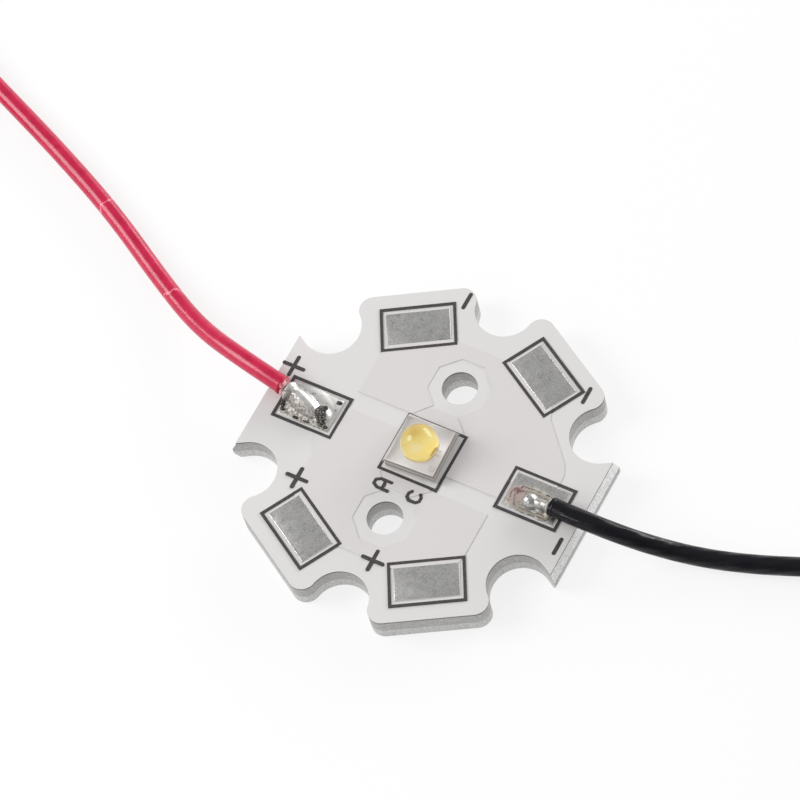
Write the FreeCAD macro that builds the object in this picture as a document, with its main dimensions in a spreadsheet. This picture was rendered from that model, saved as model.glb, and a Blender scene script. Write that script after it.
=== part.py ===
import FreeCAD, Part
import math
import os

import Sketcher
from FreeCAD import Placement, Rotation, Vector

# A star-shaped aluminium LED board with one power LED and two soldered leads.
# Millimetres. The origin is on the underside at the middle of the star, +Z up.
# +X runs along the two snapped lobes, towards the black lead.

doc = FreeCAD.newDocument("star_led_board")
nodes = {}

# Driving dimensions, each a cell of the sheet with an alias
SIZES = {
    # star plate
    "star_width": 20.0,
    "base_thick": 1.5,
    "notch_radius": 1.7,
    "notch_inset": 1.867,
    "lobe_round": 0.8,
    "score_width": 0.25,
    "score_depth": 0.5,
    "screw_hole": 2.0,
    "screw_spacing": 8.65,
    # layers on the plate
    "dielectric_thick": 0.1,
    "copper_thick": 0.035,
    "mask_thick": 0.03,
    "mask_over_copper": 0.025,
    "tin_thick": 0.035,
    "ink_thick": 0.015,
    "ink_line": 0.17,
    # copper areas
    "band_far": 1.92,
    "band_near": 0.75,
    "copper_gap": 0.16,
    "hole_clearance": 1.69,
    # pads on the four rounded lobes and on the two snapped lobes, with their printed frames
    "lobe_pad_inset": 2.19,
    "lobe_pad_long": 3.55,
    "lobe_pad_wide": 1.93,
    "lobe_frame_end": 0.18,
    "lobe_frame_side": 0.215,
    "wire_pad_inset": 3.07,
    "wire_pad_long": 3.15,
    "wire_pad_wide": 2.12,
    "wire_frame_end": 0.145,
    "wire_frame_side": 0.125,
    # LED package
    "led_side": 3.0,
    "led_turn": 2.4,
    "led_frame_gap": 0.18,
    "joint_thick": 0.05,
    "contact_thick": 0.02,
    "contact_long": 2.7,
    "contact_wide": 0.5,
    "contact_offset": 1.15,
    "thermal_wide": 1.3,
    "ceramic_thick": 0.45,
    "die_pad_side": 1.4,
    "chip_side": 1.2,
    "chip_thick": 0.12,
    "converter_thick": 0.11,
    "converter_notch": 0.16,
    "bond_pad_width": 0.22,
    "bond_pad_offset": 1.12,
    "bond_wire": 0.04,
    "diode_width": 0.3,
    "diode_thick": 0.12,
    "flange_thick": 0.31,
    "flange_draft": 12.0,
    "dome_radius": 1.05,
    "dome_skirt": 0.25,
    "dome_rise": 1.2,
    # leads
    "lead_width": 1.05,
    "core_width": 0.5,
    "tail_length": 3.75,
    "tip_length": 5.0,
    "tip_height": 1.25,
    "red_coil_inner": 4.05,
    "black_coil_inner": 2.85,
    "coil_outer": 7.75,
    "coil_height": 2.15,
    "tie_thick": 0.3,
    "tie_width": 1.2,
}

sheet = doc.addObject("Spreadsheet::Sheet", "Sizes")
for row, (alias, amount) in enumerate(SIZES.items(), start=1):
    sheet.set(f"A{row}", alias.replace("_", " "))
    sheet.set(f"B{row}", str(amount))
    sheet.setAlias(f"B{row}", alias)
doc.recompute()

# Heights of the layers, as expressions over the sheet
COPPER_BOTTOM = "Sizes.base_thick + Sizes.dielectric_thick"
COPPER_TOP = COPPER_BOTTOM + " + Sizes.copper_thick"
MASK_TOP = COPPER_TOP + " + Sizes.mask_over_copper"
CONTACT_BOTTOM = COPPER_TOP + " + Sizes.joint_thick"
CERAMIC_BOTTOM = CONTACT_BOTTOM + " + Sizes.contact_thick"
CERAMIC_TOP = CERAMIC_BOTTOM + " + Sizes.ceramic_thick"
CHIP_BOTTOM = CERAMIC_TOP + " + Sizes.contact_thick"
CONVERTER_BOTTOM = CHIP_BOTTOM + " + Sizes.chip_thick"

# Places that follow the width of the star
NOTCH_CENTRE = "(Sizes.star_width / sqrt(3) - Sizes.notch_inset)"
LOBE_PAD_CENTRE = "(Sizes.star_width / 2 - Sizes.lobe_pad_inset)"
WIRE_PAD_CENTRE = "(Sizes.star_width / 2 - Sizes.wire_pad_inset)"

# Lobes, in degrees about +Z
ROUNDED_LOBES = (60, 120, 240, 300)
SNAPPED_LOBES = (0, 180)


def value(expression):
    """The number that an expression over the sheet gives."""
    result = sheet.evalExpression(str(expression))
    return float(getattr(result, "Value", result))


def keep(label, piece):
    """Name a finished sub-part; the name is also its file's."""
    piece.Label = label
    nodes[label] = piece
    return piece


def lift(piece, height, turn="0"):
    """Stand a piece at a height, turned about +Z."""
    piece.Placement = Placement(Vector(0, 0, value(height)), Rotation(Vector(0, 0, 1), value(turn)))
    piece.setExpression(".Placement.Base.z", height)


def new_body(name):
    return doc.addObject("PartDesign::Body", name)


def new_sketch(body, role, name, turn=0.0):
    """An empty sketch on one of the body's own origin planes, turned about its normal."""
    sketch = body.newObject("Sketcher::SketchObject", name)
    plane = next(feature for feature in body.Origin.OriginFeatures if feature.Role == role)
    sketch.AttachmentSupport = (plane, [""])
    sketch.MapMode = "FlatFace"
    sketch.AttachmentOffset = Placement(Vector(), Rotation(Vector(0, 0, 1), turn))
    return sketch


def hold(sketch, kind, line, expression):
    """Hold a line's first point at a distance from the sketch's origin along X or Y."""
    if value(expression) == 0:
        axis = -2 if kind == "DistanceX" else -1
        sketch.addConstraint(Sketcher.Constraint("PointOnObject", line, 1, axis))
        return
    number = sketch.addConstraint(Sketcher.Constraint(kind, -1, 1, line, 1, value(expression)))
    sketch.setExpression(f"Constraints[{number}]", str(expression))


def polygon(sketch, points):
    """A closed outline whose corners are each held by two expressions."""
    corners = [Vector(value(x), value(y), 0) for x, y in points]
    first = sketch.GeometryCount
    count = len(corners)
    for index, corner in enumerate(corners):
        sketch.addGeometry(Part.LineSegment(corner, corners[(index + 1) % count]), False)
    for index in range(count):
        following = first + (index + 1) % count
        sketch.addConstraint(Sketcher.Constraint("Coincident", first + index, 2, following, 1))
    for index, (x, y) in enumerate(points):
        hold(sketch, "DistanceX", first + index, x)
        hold(sketch, "DistanceY", first + index, y)


def rectangle(sketch, long, wide, x="0", y="0"):
    """A rectangle of a length along X and a width along Y, centred on a point."""
    polygon(sketch, [
        (f"{x} - {long} / 2", f"{y} - {wide} / 2"),
        (f"{x} + {long} / 2", f"{y} - {wide} / 2"),
        (f"{x} + {long} / 2", f"{y} + {wide} / 2"),
        (f"{x} - {long} / 2", f"{y} + {wide} / 2"),
    ])


def pad(body, sketch, length):
    """Extrude a sketch of the body upwards."""
    feature = body.newObject("PartDesign::Pad", sketch.Name + "_pad")
    feature.Profile = sketch
    feature.setExpression("Length", length)
    return feature


def pocket(body, sketch):
    """Cut a sketch right through the body, both ways."""
    feature = body.newObject("PartDesign::Pocket", sketch.Name + "_pocket")
    feature.Profile = sketch
    feature.SideType = "Symmetric"
    feature.Type = "ThroughAll"
    return feature


def block(name, long, wide, thick, x="0", y="0"):
    """A rectangular plate of its own body, standing on its lowest plane."""
    body = new_body(name)
    outline = new_sketch(body, "XY_Plane", name + "_outline")
    rectangle(outline, long, wide, x, y)
    pad(body, outline, thick)
    return body


# The star outline: a hexagon, a slot cut into each corner, round ends on four lobes
def hexagon(body, name):
    sketch = new_sketch(body, "XY_Plane", name + "_hexagon")
    radius = value("Sizes.star_width / sqrt(3)")
    corners = [Vector(radius * math.cos(a), radius * math.sin(a), 0)
               for a in (math.radians(30 + 60 * i) for i in range(6))]
    for index, corner in enumerate(corners):
        sketch.addGeometry(Part.LineSegment(corner, corners[(index + 1) % 6]), False)
    circle = sketch.addGeometry(Part.Circle(Vector(), Vector(0, 0, 1), radius), True)
    sketch.addConstraint(Sketcher.Constraint("Coincident", circle, 3, -1, 1))
    for index in range(6):
        following = (index + 1) % 6
        sketch.addConstraint(Sketcher.Constraint("Coincident", index, 2, following, 1))
        sketch.addConstraint(Sketcher.Constraint("PointOnObject", index, 1, circle))
    for index in range(1, 6):
        sketch.addConstraint(Sketcher.Constraint("Equal", 0, index))
    sketch.addConstraint(Sketcher.Constraint("Vertical", 2))
    number = sketch.addConstraint(Sketcher.Constraint("Radius", circle, radius))
    sketch.setExpression(f"Constraints[{number}]", "Sizes.star_width / sqrt(3)")
    return sketch


def slot(body, name):
    """A round-ended slot on +Y that runs out past the hexagon's corner."""
    sketch = new_sketch(body, "XY_Plane", name + "_slot")
    radius = value("Sizes.notch_radius")
    centre = value(NOTCH_CENTRE)
    top = value("Sizes.star_width")
    ellipse = Part.Circle(Vector(0, centre, 0), Vector(0, 0, 1), radius)
    arc = sketch.addGeometry(Part.ArcOfCircle(ellipse, math.pi, 2 * math.pi), False)
    right = sketch.addGeometry(Part.LineSegment(Vector(radius, centre, 0), Vector(radius, top, 0)), False)
    head = sketch.addGeometry(Part.LineSegment(Vector(radius, top, 0), Vector(-radius, top, 0)), False)
    left = sketch.addGeometry(Part.LineSegment(Vector(-radius, top, 0), Vector(-radius, centre, 0)), False)
    sketch.addConstraint(Sketcher.Constraint("Tangent", arc, 2, right, 1))
    sketch.addConstraint(Sketcher.Constraint("Coincident", right, 2, head, 1))
    sketch.addConstraint(Sketcher.Constraint("Coincident", head, 2, left, 1))
    sketch.addConstraint(Sketcher.Constraint("Tangent", left, 2, arc, 1))
    sketch.addConstraint(Sketcher.Constraint("Vertical", right))
    sketch.addConstraint(Sketcher.Constraint("Horizontal", head))
    sketch.addConstraint(Sketcher.Constraint("PointOnObject", arc, 3, -2))
    bound = [
        (Sketcher.Constraint("Radius", arc, radius), "Sizes.notch_radius"),
        (Sketcher.Constraint("DistanceY", -1, 1, arc, 3, centre), NOTCH_CENTRE),
        (Sketcher.Constraint("DistanceY", -1, 1, right, 2, top), "Sizes.star_width"),
    ]
    for constraint, expression in bound:
        number = sketch.addConstraint(constraint)
        sketch.setExpression(f"Constraints[{number}]", expression)
    return sketch


def screw_holes(body, name):
    sketch = new_sketch(body, "XY_Plane", name + "_holes")
    for side in (1, -1):
        middle = Vector(0, side * value("Sizes.screw_spacing / 2"), 0)
        circle = Part.Circle(middle, Vector(0, 0, 1), value("Sizes.screw_hole / 2"))
        hole = sketch.addGeometry(circle, False)
        sketch.addConstraint(Sketcher.Constraint("PointOnObject", hole, 3, -2))
        number = sketch.addConstraint(Sketcher.Constraint("DistanceY", -1, 1, hole, 3, middle.y))
        sketch.setExpression(f"Constraints[{number}]", f"{side} * Sizes.screw_spacing / 2")
        number = sketch.addConstraint(Sketcher.Constraint("Diameter", hole, value("Sizes.screw_hole")))
        sketch.setExpression(f"Constraints[{number}]", "Sizes.screw_hole")
    return sketch


def round_lobe_edges(shape):
    """The upright edges where a slot meets a flat, on the four rounded lobes."""
    slot_side = value("Sizes.notch_radius")
    along = (value("Sizes.star_width / 2") - slot_side * 0.5) / math.cos(math.radians(30))
    corner_reach = math.hypot(along, slot_side)
    names = []
    for number, edge in enumerate(shape.Edges, start=1):
        low, high = edge.Vertexes[0].Point, edge.Vertexes[-1].Point
        upright = math.hypot(low.x - high.x, low.y - high.y) < 1e-6
        at_corner = abs(math.hypot(low.x, low.y) - corner_reach) < 1e-3
        on_snapped_lobe = abs(low.y) < abs(low.x) * math.tan(math.radians(30))
        if upright and at_corner and not on_snapped_lobe:
            names.append(f"Edge{number}")
    return names


def star_plate(name, thickness):
    """The star in one thickness, with its two screw holes."""
    body = new_body(name)
    pad(body, hexagon(body, name), thickness)
    cut = pocket(body, slot(body, name))
    doc.recompute()
    ring = body.newObject("PartDesign::PolarPattern", name + "_slots")
    ring.Originals = [cut]
    ring.Axis = (next(f for f in body.Origin.OriginFeatures if f.Role == "Z_Axis"), [""])
    ring.Angle = 360
    ring.Occurrences = 6
    body.Tip = ring
    doc.recompute()
    rounds = body.newObject("PartDesign::Fillet", name + "_lobe_rounds")
    rounds.Base = (ring, round_lobe_edges(ring.Shape))
    rounds.setExpression("Radius", "Sizes.lobe_round")
    doc.recompute()
    pocket(body, screw_holes(body, name))
    return body


def trimmed_star(name, thickness):
    """A thin layer of the star: it stops at the score line of the two snapped lobes."""
    body = star_plate(name, thickness)
    strips = new_sketch(body, "XY_Plane", name + "_strips")
    for side in ("", "-"):
        polygon(strips, [
            (f"{side}(Sizes.star_width / 2 - Sizes.score_width)", "-Sizes.star_width / 2"),
            (f"{side}(Sizes.star_width / 2 + Sizes.score_width)", "-Sizes.star_width / 2"),
            (f"{side}(Sizes.star_width / 2 + Sizes.score_width)", "Sizes.star_width / 2"),
            (f"{side}(Sizes.star_width / 2 - Sizes.score_width)", "Sizes.star_width / 2"),
        ])
    pocket(body, strips)
    return body


def aluminium_base():
    """Routed aluminium core. Both snapped ends keep the two slopes of their V-score."""
    body = star_plate("aluminium_base", "Sizes.base_thick")
    score = new_sketch(body, "XZ_Plane", "score")
    for side in ("", "-"):
        inner = f"{side}(Sizes.star_width / 2 - Sizes.score_width)"
        outer = f"{side}(Sizes.star_width / 2 + Sizes.score_width)"
        polygon(score, [
            (inner, "Sizes.base_thick"),
            (outer, "Sizes.base_thick - 2 * Sizes.score_depth"),
            (outer, "Sizes.base_thick"),
        ])
        polygon(score, [(inner, "0"), (outer, "0"), (outer, "2 * Sizes.score_depth")])
    pocket(body, score)
    keep("aluminium_base", body)


def dielectric_layer():
    body = trimmed_star("dielectric_layer", "Sizes.dielectric_thick")
    lift(body, "Sizes.base_thick")
    keep("dielectric_layer", body)


# Copper: one area for each side of the LED and one below its thermal contact
def copper_area(name, points, lobes, wire_lobe, hole_side):
    """A copper area with its pads, kept clear of one screw hole by an octagon."""
    body = new_body(name)
    outline = new_sketch(body, "XY_Plane", name + "_outline")
    polygon(outline, points)
    pad(body, outline, "Sizes.copper_thick")
    for lobe in lobes:
        land = new_sketch(body, "XY_Plane", f"{name}_land_{lobe}", lobe)
        rectangle(land, "Sizes.lobe_pad_wide", "Sizes.lobe_pad_long", LOBE_PAD_CENTRE)
        pad(body, land, "Sizes.copper_thick")
    land = new_sketch(body, "XY_Plane", f"{name}_land_{wire_lobe}", wire_lobe)
    rectangle(land, "Sizes.wire_pad_long", "Sizes.wire_pad_wide", WIRE_PAD_CENTRE)
    pad(body, land, "Sizes.copper_thick")
    pocket(body, octagon(body, name, hole_side))
    lift(body, COPPER_BOTTOM)
    return keep(name, body)


def octagon(body, name, side):
    """The clearance round a screw hole, flats facing the axes."""
    sketch = new_sketch(body, "XY_Plane", f"{name}_clearance_{'lower' if side < 0 else 'upper'}")
    flat = "Sizes.hole_clearance"
    half = f"{flat} * {math.tan(math.radians(22.5)):.6f}"
    middle = f"{side} * Sizes.screw_spacing / 2"
    corners = [(flat, half), (half, flat), (f"-{half}", flat), (f"-{flat}", half),
               (f"-{flat}", f"-{half}"), (f"-{half}", f"-{flat}"), (half, f"-{flat}"), (flat, f"-{half}")]
    polygon(sketch, [(x, f"{middle} + {y}") for x, y in corners])
    return sketch


def share(part):
    """A distance that is a fixed part of the star's width."""
    return f"(Sizes.star_width * {part})"


COPPER_REACH = share(0.25)
COPPER_SIDE = share(0.23)
COPPER_HEAD = share(0.341)
COPPER_CROWN = share(0.0725)
LAND_EDGE = "(Sizes.thermal_wide / 2 + Sizes.copper_gap)"
LAND_END = "(Sizes.led_side / 2)"
LAND_SIDE = "(Sizes.led_side / 2 + Sizes.copper_gap)"
HOLE_EDGE = "(Sizes.screw_spacing / 2 - Sizes.hole_clearance)"
FLARE = "(Sizes.hole_clearance * 0.414214)"


def copper_cathode():
    """Right and upper copper, from the LED to the black lead's pad and two lobe pads."""
    points = [
        (LAND_EDGE, f"-{LAND_END}"),
        (LAND_EDGE, LAND_END),
        (f"{LAND_SIDE}", "Sizes.band_far"),
        (f"{FLARE} + Sizes.copper_gap", f"{HOLE_EDGE} + Sizes.copper_gap"),
        ("0", "Sizes.screw_spacing / 2"),
        (f"-{FLARE} - Sizes.copper_gap", f"{HOLE_EDGE} + Sizes.copper_gap"),
        (f"-{LAND_SIDE}", "Sizes.band_far"),
        (f"-{COPPER_REACH}", "Sizes.band_far"),
        (f"-{COPPER_REACH}", COPPER_SIDE),
        (f"-{share(0.225)}", COPPER_HEAD),
        (f"-{COPPER_CROWN}", COPPER_HEAD),
        (COPPER_CROWN, COPPER_HEAD),
        (share(0.225), COPPER_HEAD),
        (share(0.2725), COPPER_SIDE),
        (share(0.37), share(0.125)),
        (share(0.385), share(0.095)),
        (share(0.385), share(0.02)),
        (COPPER_REACH, share(0.02)),
        (COPPER_REACH, "-Sizes.band_near"),
        (LAND_SIDE, "-Sizes.band_near"),
        (LAND_SIDE, f"-{LAND_END}"),
    ]
    copper_area("copper_cathode", points, (60, 120), 0, 1)


def copper_anode():
    """Left and lower copper, from the LED to the red lead's pad and two lobe pads."""
    points = [
        (f"-{LAND_EDGE}", LAND_END),
        (f"-{LAND_EDGE}", f"-{LAND_END}"),
        (f"-{LAND_SIDE}", "-Sizes.band_far"),
        (f"-{FLARE} - Sizes.copper_gap", f"-{HOLE_EDGE} - Sizes.copper_gap"),
        ("0", "-Sizes.screw_spacing / 2"),
        (f"{FLARE} + Sizes.copper_gap", f"-{HOLE_EDGE} - Sizes.copper_gap"),
        (LAND_SIDE, "-Sizes.band_far"),
        (COPPER_REACH, "-Sizes.band_far"),
        (COPPER_REACH, f"-{COPPER_SIDE}"),
        (share(0.225), f"-{COPPER_HEAD}"),
        (COPPER_CROWN, f"-{COPPER_HEAD}"),
        (f"-{COPPER_CROWN}", f"-{COPPER_HEAD}"),
        (f"-{share(0.225)}", f"-{COPPER_HEAD}"),
        (f"-{share(0.27)}", f"-{COPPER_SIDE}"),
        (f"-{share(0.2725)}", f"-{share(0.1175)}"),
        (f"-{share(0.305)}", f"-{share(0.075)}"),
        (f"-{share(0.385)}", f"-{share(0.02)}"),
        (f"-{COPPER_REACH}", f"-{share(0.02)}"),
        (f"-{COPPER_REACH}", "Sizes.band_near"),
        (f"-{LAND_SIDE}", "Sizes.band_near"),
        (f"-{LAND_SIDE}", LAND_END),
    ]
    copper_area("copper_anode", points, (240, 300), 180, -1)


def copper_thermal():
    """The island below the LED, flared towards both screw holes."""
    body = new_body("copper_thermal")
    outline = new_sketch(body, "XY_Plane", "thermal_outline")
    edge = "Sizes.thermal_wide / 2"
    side = "Sizes.led_side / 2"
    quarter = [(edge, LAND_END), (side, "Sizes.band_far"), (FLARE, HOLE_EDGE)]
    upper = quarter + [(f"-({x})", y) for x, y in reversed(quarter)]
    lower = [(f"-({x})", f"-({y})") for x, y in upper]
    polygon(outline, upper + lower)
    pad(body, outline, "Sizes.copper_thick")
    lift(body, COPPER_BOTTOM)
    keep("copper_thermal", body)


# White mask: a thin coat over the dielectric that steps up over the copper
def mask_openings():
    """Prisms that leave the pads and the LED's three lands bare."""
    openings = []
    pads = [(lobe, LOBE_PAD_CENTRE, "Sizes.lobe_pad_wide", "Sizes.lobe_pad_long")
            for lobe in ROUNDED_LOBES]
    pads += [(lobe, WIRE_PAD_CENTRE, "Sizes.wire_pad_long", "Sizes.wire_pad_wide")
             for lobe in SNAPPED_LOBES]
    for lobe, centre, long, wide in pads:
        opening = block(f"pad_opening_{lobe}", long, wide, "1", centre)
        lift(opening, COPPER_BOTTOM, str(lobe))
        openings.append(opening)
    lands = [("anode", "-Sizes.contact_offset", "Sizes.contact_wide"),
             ("thermal", "0", "Sizes.thermal_wide"),
             ("cathode", "Sizes.contact_offset", "Sizes.contact_wide")]
    for side, offset, wide in lands:
        opening = block(f"{side}_opening", wide, "Sizes.contact_long", "1", offset)
        lift(opening, COPPER_BOTTOM, "Sizes.led_turn")
        openings.append(opening)
    return openings


def grown_outline(face, distance):
    """A flat face's straight-sided outline, moved outwards with its corners kept sharp."""
    corners = [vertex.Point for vertex in face.OuterWire.OrderedVertexes]
    twice_area = sum(a.x * b.y - b.x * a.y for a, b in zip(corners, corners[1:] + corners[:1]))
    if twice_area < 0:
        corners.reverse()
    grown = []
    for before, corner, after in zip(corners[-1:] + corners[:-1], corners, corners[1:] + corners[:1]):
        into = (corner - before).normalize()
        out = (after - corner).normalize()
        outward = Vector(into.y + out.y, -into.x - out.x, 0).normalize()
        grown.append(corner + outward * (distance / (outward.x * into.y - outward.y * into.x)))
    return Part.Face(Part.makePolygon(grown + grown[:1]))


def copper_coat(copper):
    """The mask on one copper area, its outline as much wider as the coat is thick."""
    bottom = next(face for face in copper.Shape.Faces if face.normalAt(0, 0).z < -0.99)
    grown = grown_outline(bottom, value("Sizes.mask_over_copper"))
    coat = doc.addObject("Part::Feature", copper.Name + "_coat")
    coat.Shape = grown.extrude(Vector(0, 0, value("Sizes.copper_thick + Sizes.mask_over_copper")))
    return coat


def solder_mask():
    ground = trimmed_star("mask_ground", "Sizes.mask_thick")
    lift(ground, COPPER_BOTTOM)
    coppers = [nodes[name] for name in ("copper_cathode", "copper_anode", "copper_thermal")]
    doc.recompute()
    coats = [copper_coat(copper) for copper in coppers]
    whole = doc.addObject("Part::MultiFuse", "mask_whole")
    whole.Shapes = [ground] + coats
    tools = doc.addObject("Part::MultiFuse", "mask_tools")
    tools.Shapes = coppers + mask_openings()
    mask = doc.addObject("Part::Cut", "mask")
    mask.Base = whole
    mask.Tool = tools
    keep("solder_mask", mask)


def pad_tins():
    """The hot-air levelled tin that fills each pad opening and stands a little proud."""
    for lobe in ROUNDED_LOBES:
        tin = block(f"pad_tin_{lobe}", "Sizes.lobe_pad_wide", "Sizes.lobe_pad_long",
                    "Sizes.tin_thick", LOBE_PAD_CENTRE)
        lift(tin, COPPER_TOP, str(lobe))
        keep(f"pad_tin_{lobe}", tin)
    for lobe in SNAPPED_LOBES:
        tin = block(f"pad_tin_{lobe}", "Sizes.wire_pad_long", "Sizes.wire_pad_wide",
                    "Sizes.tin_thick", WIRE_PAD_CENTRE)
        lift(tin, COPPER_TOP, str(lobe))
        keep(f"pad_tin_{lobe}", tin)


def printed_frame(name, long, wide, x, lobe):
    """One printed rectangle, drawn outside a given opening."""
    body = new_body(name)
    outline = new_sketch(body, "XY_Plane", name + "_outline", lobe)
    rectangle(outline, f"({long} + 2 * Sizes.ink_line)", f"({wide} + 2 * Sizes.ink_line)", x)
    rectangle(outline, long, wide, x)
    pad(body, outline, "Sizes.copper_thick + Sizes.mask_over_copper + Sizes.ink_thick")
    lift(body, COPPER_BOTTOM)
    return body


def legend_frames():
    """Black ink frames round the pads and the LED, printed on the mask."""
    frames = []
    for lobe in ROUNDED_LOBES:
        frames.append(printed_frame(f"frame_{lobe}", "(Sizes.lobe_pad_wide + 2 * Sizes.lobe_frame_side)",
                                    "(Sizes.lobe_pad_long + 2 * Sizes.lobe_frame_end)", LOBE_PAD_CENTRE, lobe))
    for lobe in SNAPPED_LOBES:
        frames.append(printed_frame(f"frame_{lobe}", "(Sizes.wire_pad_long + 2 * Sizes.wire_frame_end)",
                                    "(Sizes.wire_pad_wide + 2 * Sizes.wire_frame_side)", WIRE_PAD_CENTRE, lobe))
    led_hole = "(Sizes.led_side + 2 * Sizes.led_frame_gap)"
    frames.append(printed_frame("frame_led", led_hole, led_hole, "0", 0))
    ink = doc.addObject("Part::MultiFuse", "ink")
    ink.Shapes = frames
    below = doc.addObject("Part::MultiFuse", "below_ink")
    below.Shapes = [nodes[name] for name in (
        "copper_cathode", "copper_anode", "copper_thermal", "solder_mask")]
    printed = doc.addObject("Part::Cut", "legend")
    printed.Base = ink
    printed.Tool = below
    keep("legend_frames", printed)


# LED package, all of it turned a little on the board, as it was placed
def led_block(name, long, wide, thick, height, x="0", y="0"):
    piece = block(name, long, wide, thick, x, y)
    lift(piece, height, "Sizes.led_turn")
    return keep(name, piece)


def led_contacts():
    """Three contacts below the ceramic and the solder that joins each to its land."""
    sides = [("anode", "-Sizes.contact_offset", "Sizes.contact_wide"),
             ("thermal", "0", "Sizes.thermal_wide"),
             ("cathode", "Sizes.contact_offset", "Sizes.contact_wide")]
    for side, offset, wide in sides:
        led_block(f"led_solder_{side}", f"({wide} - 0.02)", "(Sizes.contact_long - 0.02)",
                  "Sizes.joint_thick", COPPER_TOP, offset)
        led_block(f"led_pad_{side}", wide, "Sizes.contact_long", "Sizes.contact_thick",
                  CONTACT_BOTTOM, offset)


def led_inside():
    """Ceramic, metal pads, chip, converter plate, bond wires and protection diode."""
    led_block("led_ceramic", "Sizes.led_side", "Sizes.led_side", "Sizes.ceramic_thick", CERAMIC_BOTTOM)
    led_block("led_die_pad", "Sizes.die_pad_side", "Sizes.die_pad_side", "Sizes.contact_thick", CERAMIC_TOP)
    led_block("led_bond_pad", "Sizes.bond_pad_width", "(Sizes.bond_pad_width * 2)", "Sizes.contact_thick",
              CERAMIC_TOP, "Sizes.bond_pad_offset")
    led_block("led_chip", "Sizes.chip_side", "Sizes.chip_side", "Sizes.chip_thick", CHIP_BOTTOM)
    converter = new_body("led_converter")
    outline = new_sketch(converter, "XY_Plane", "converter_outline")
    side = "Sizes.chip_side / 2"
    step = "(Sizes.chip_side / 2 - Sizes.converter_notch)"
    polygon(outline, [(f"-{side}", f"-{side}"), (side, f"-{side}"), (side, f"-{step} / 2"),
                      (step, f"-{step} / 2"), (step, f"{step} / 2"), (side, f"{step} / 2"),
                      (side, side), (f"-{side}", side)])
    pad(converter, outline, "Sizes.converter_thick")
    lift(converter, CONVERTER_BOTTOM, "Sizes.led_turn")
    keep("led_converter", converter)
    led_block("led_protection_diode", "Sizes.diode_width", "Sizes.diode_width", "Sizes.diode_thick",
              CERAMIC_TOP, "Sizes.bond_pad_offset", "-(Sizes.bond_pad_offset - Sizes.diode_width / 2)")


def bond_wires():
    """Two fine loops from the chip's bare edge to the bond pad."""
    start = value("Sizes.chip_side / 2 - Sizes.converter_notch / 2")
    end = value("Sizes.bond_pad_offset")
    radius = value("Sizes.bond_wire / 2")
    low = value(CERAMIC_TOP + " + Sizes.contact_thick")
    high = value(CONVERTER_BOTTOM) - radius / 2
    top = high + 3 * value("Sizes.bond_wire")
    wires = []
    for side in (1, -1):
        y = side * value("Sizes.chip_side / 8")
        bends = [Vector(start, y, high), Vector(start + (end - start) * 0.15, y, top),
                 Vector(start + (end - start) * 0.5, y, top), Vector(end, y, low)]
        heading = (bends[1] - bends[0]).normalize()
        aside = Vector(0, 1, 0)
        upward = heading.cross(aside)
        corners = [bends[0] + (aside * math.cos(a) + upward * math.sin(a)) * radius
                   for a in (math.radians(60 * i) for i in range(6))]
        ring = Part.makePolygon(corners + corners[:1])
        shell = Part.BRepOffsetAPI.MakePipeShell(Part.makePolygon(bends))
        shell.setTransitionMode(1)
        shell.add(ring, False, False)
        shell.build()
        shell.makeSolid()
        wires.append(shell.shape())
    loops = doc.addObject("Part::Feature", "bond_loops")
    loops.Shape = Part.Compound(wires)
    loops.Placement = Placement(Vector(), Rotation(Vector(0, 0, 1), value("Sizes.led_turn")))
    ends = doc.addObject("Part::MultiFuse", "bond_ends")
    ends.Shapes = [nodes["led_chip"], nodes["led_bond_pad"]]
    bonded = doc.addObject("Part::Cut", "bond_wires")
    bonded.Base = loops
    bonded.Tool = ends
    keep("led_bond_wires", bonded)


def led_lens():
    """Clear silicone: a drafted square flange and a tall dome, moulded over the inside."""
    body = new_body("lens_outside")
    outline = new_sketch(body, "XY_Plane", "flange_outline")
    rectangle(outline, "Sizes.led_side", "Sizes.led_side")
    flange = pad(body, outline, "Sizes.flange_thick")
    flange.setExpression("TaperAngle", "-Sizes.flange_draft")
    skirt = body.newObject("PartDesign::AdditiveCylinder", "dome_skirt")
    skirt.setExpression("Radius", "Sizes.dome_radius")
    skirt.setExpression("Height", "Sizes.flange_thick + Sizes.dome_skirt")
    dome = body.newObject("PartDesign::AdditiveEllipsoid", "dome")
    dome.setExpression("Radius1", "Sizes.dome_rise")
    dome.setExpression("Radius2", "Sizes.dome_radius")
    dome.setExpression("Radius3", "Sizes.dome_radius")
    dome.Angle1 = 0
    dome.Angle2 = 90
    dome.setExpression(".Placement.Base.z", "Sizes.flange_thick + Sizes.dome_skirt")
    lift(body, CERAMIC_TOP, "Sizes.led_turn")
    doc.recompute()
    inside = doc.addObject("Part::MultiFuse", "lens_inside")
    inside.Shapes = [nodes[name] for name in (
        "led_die_pad", "led_bond_pad", "led_chip", "led_converter", "led_protection_diode", "led_bond_wires")]
    lens = doc.addObject("Part::Cut", "lens")
    lens.Base = body
    lens.Tool = inside
    keep("led_lens", lens)


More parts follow.
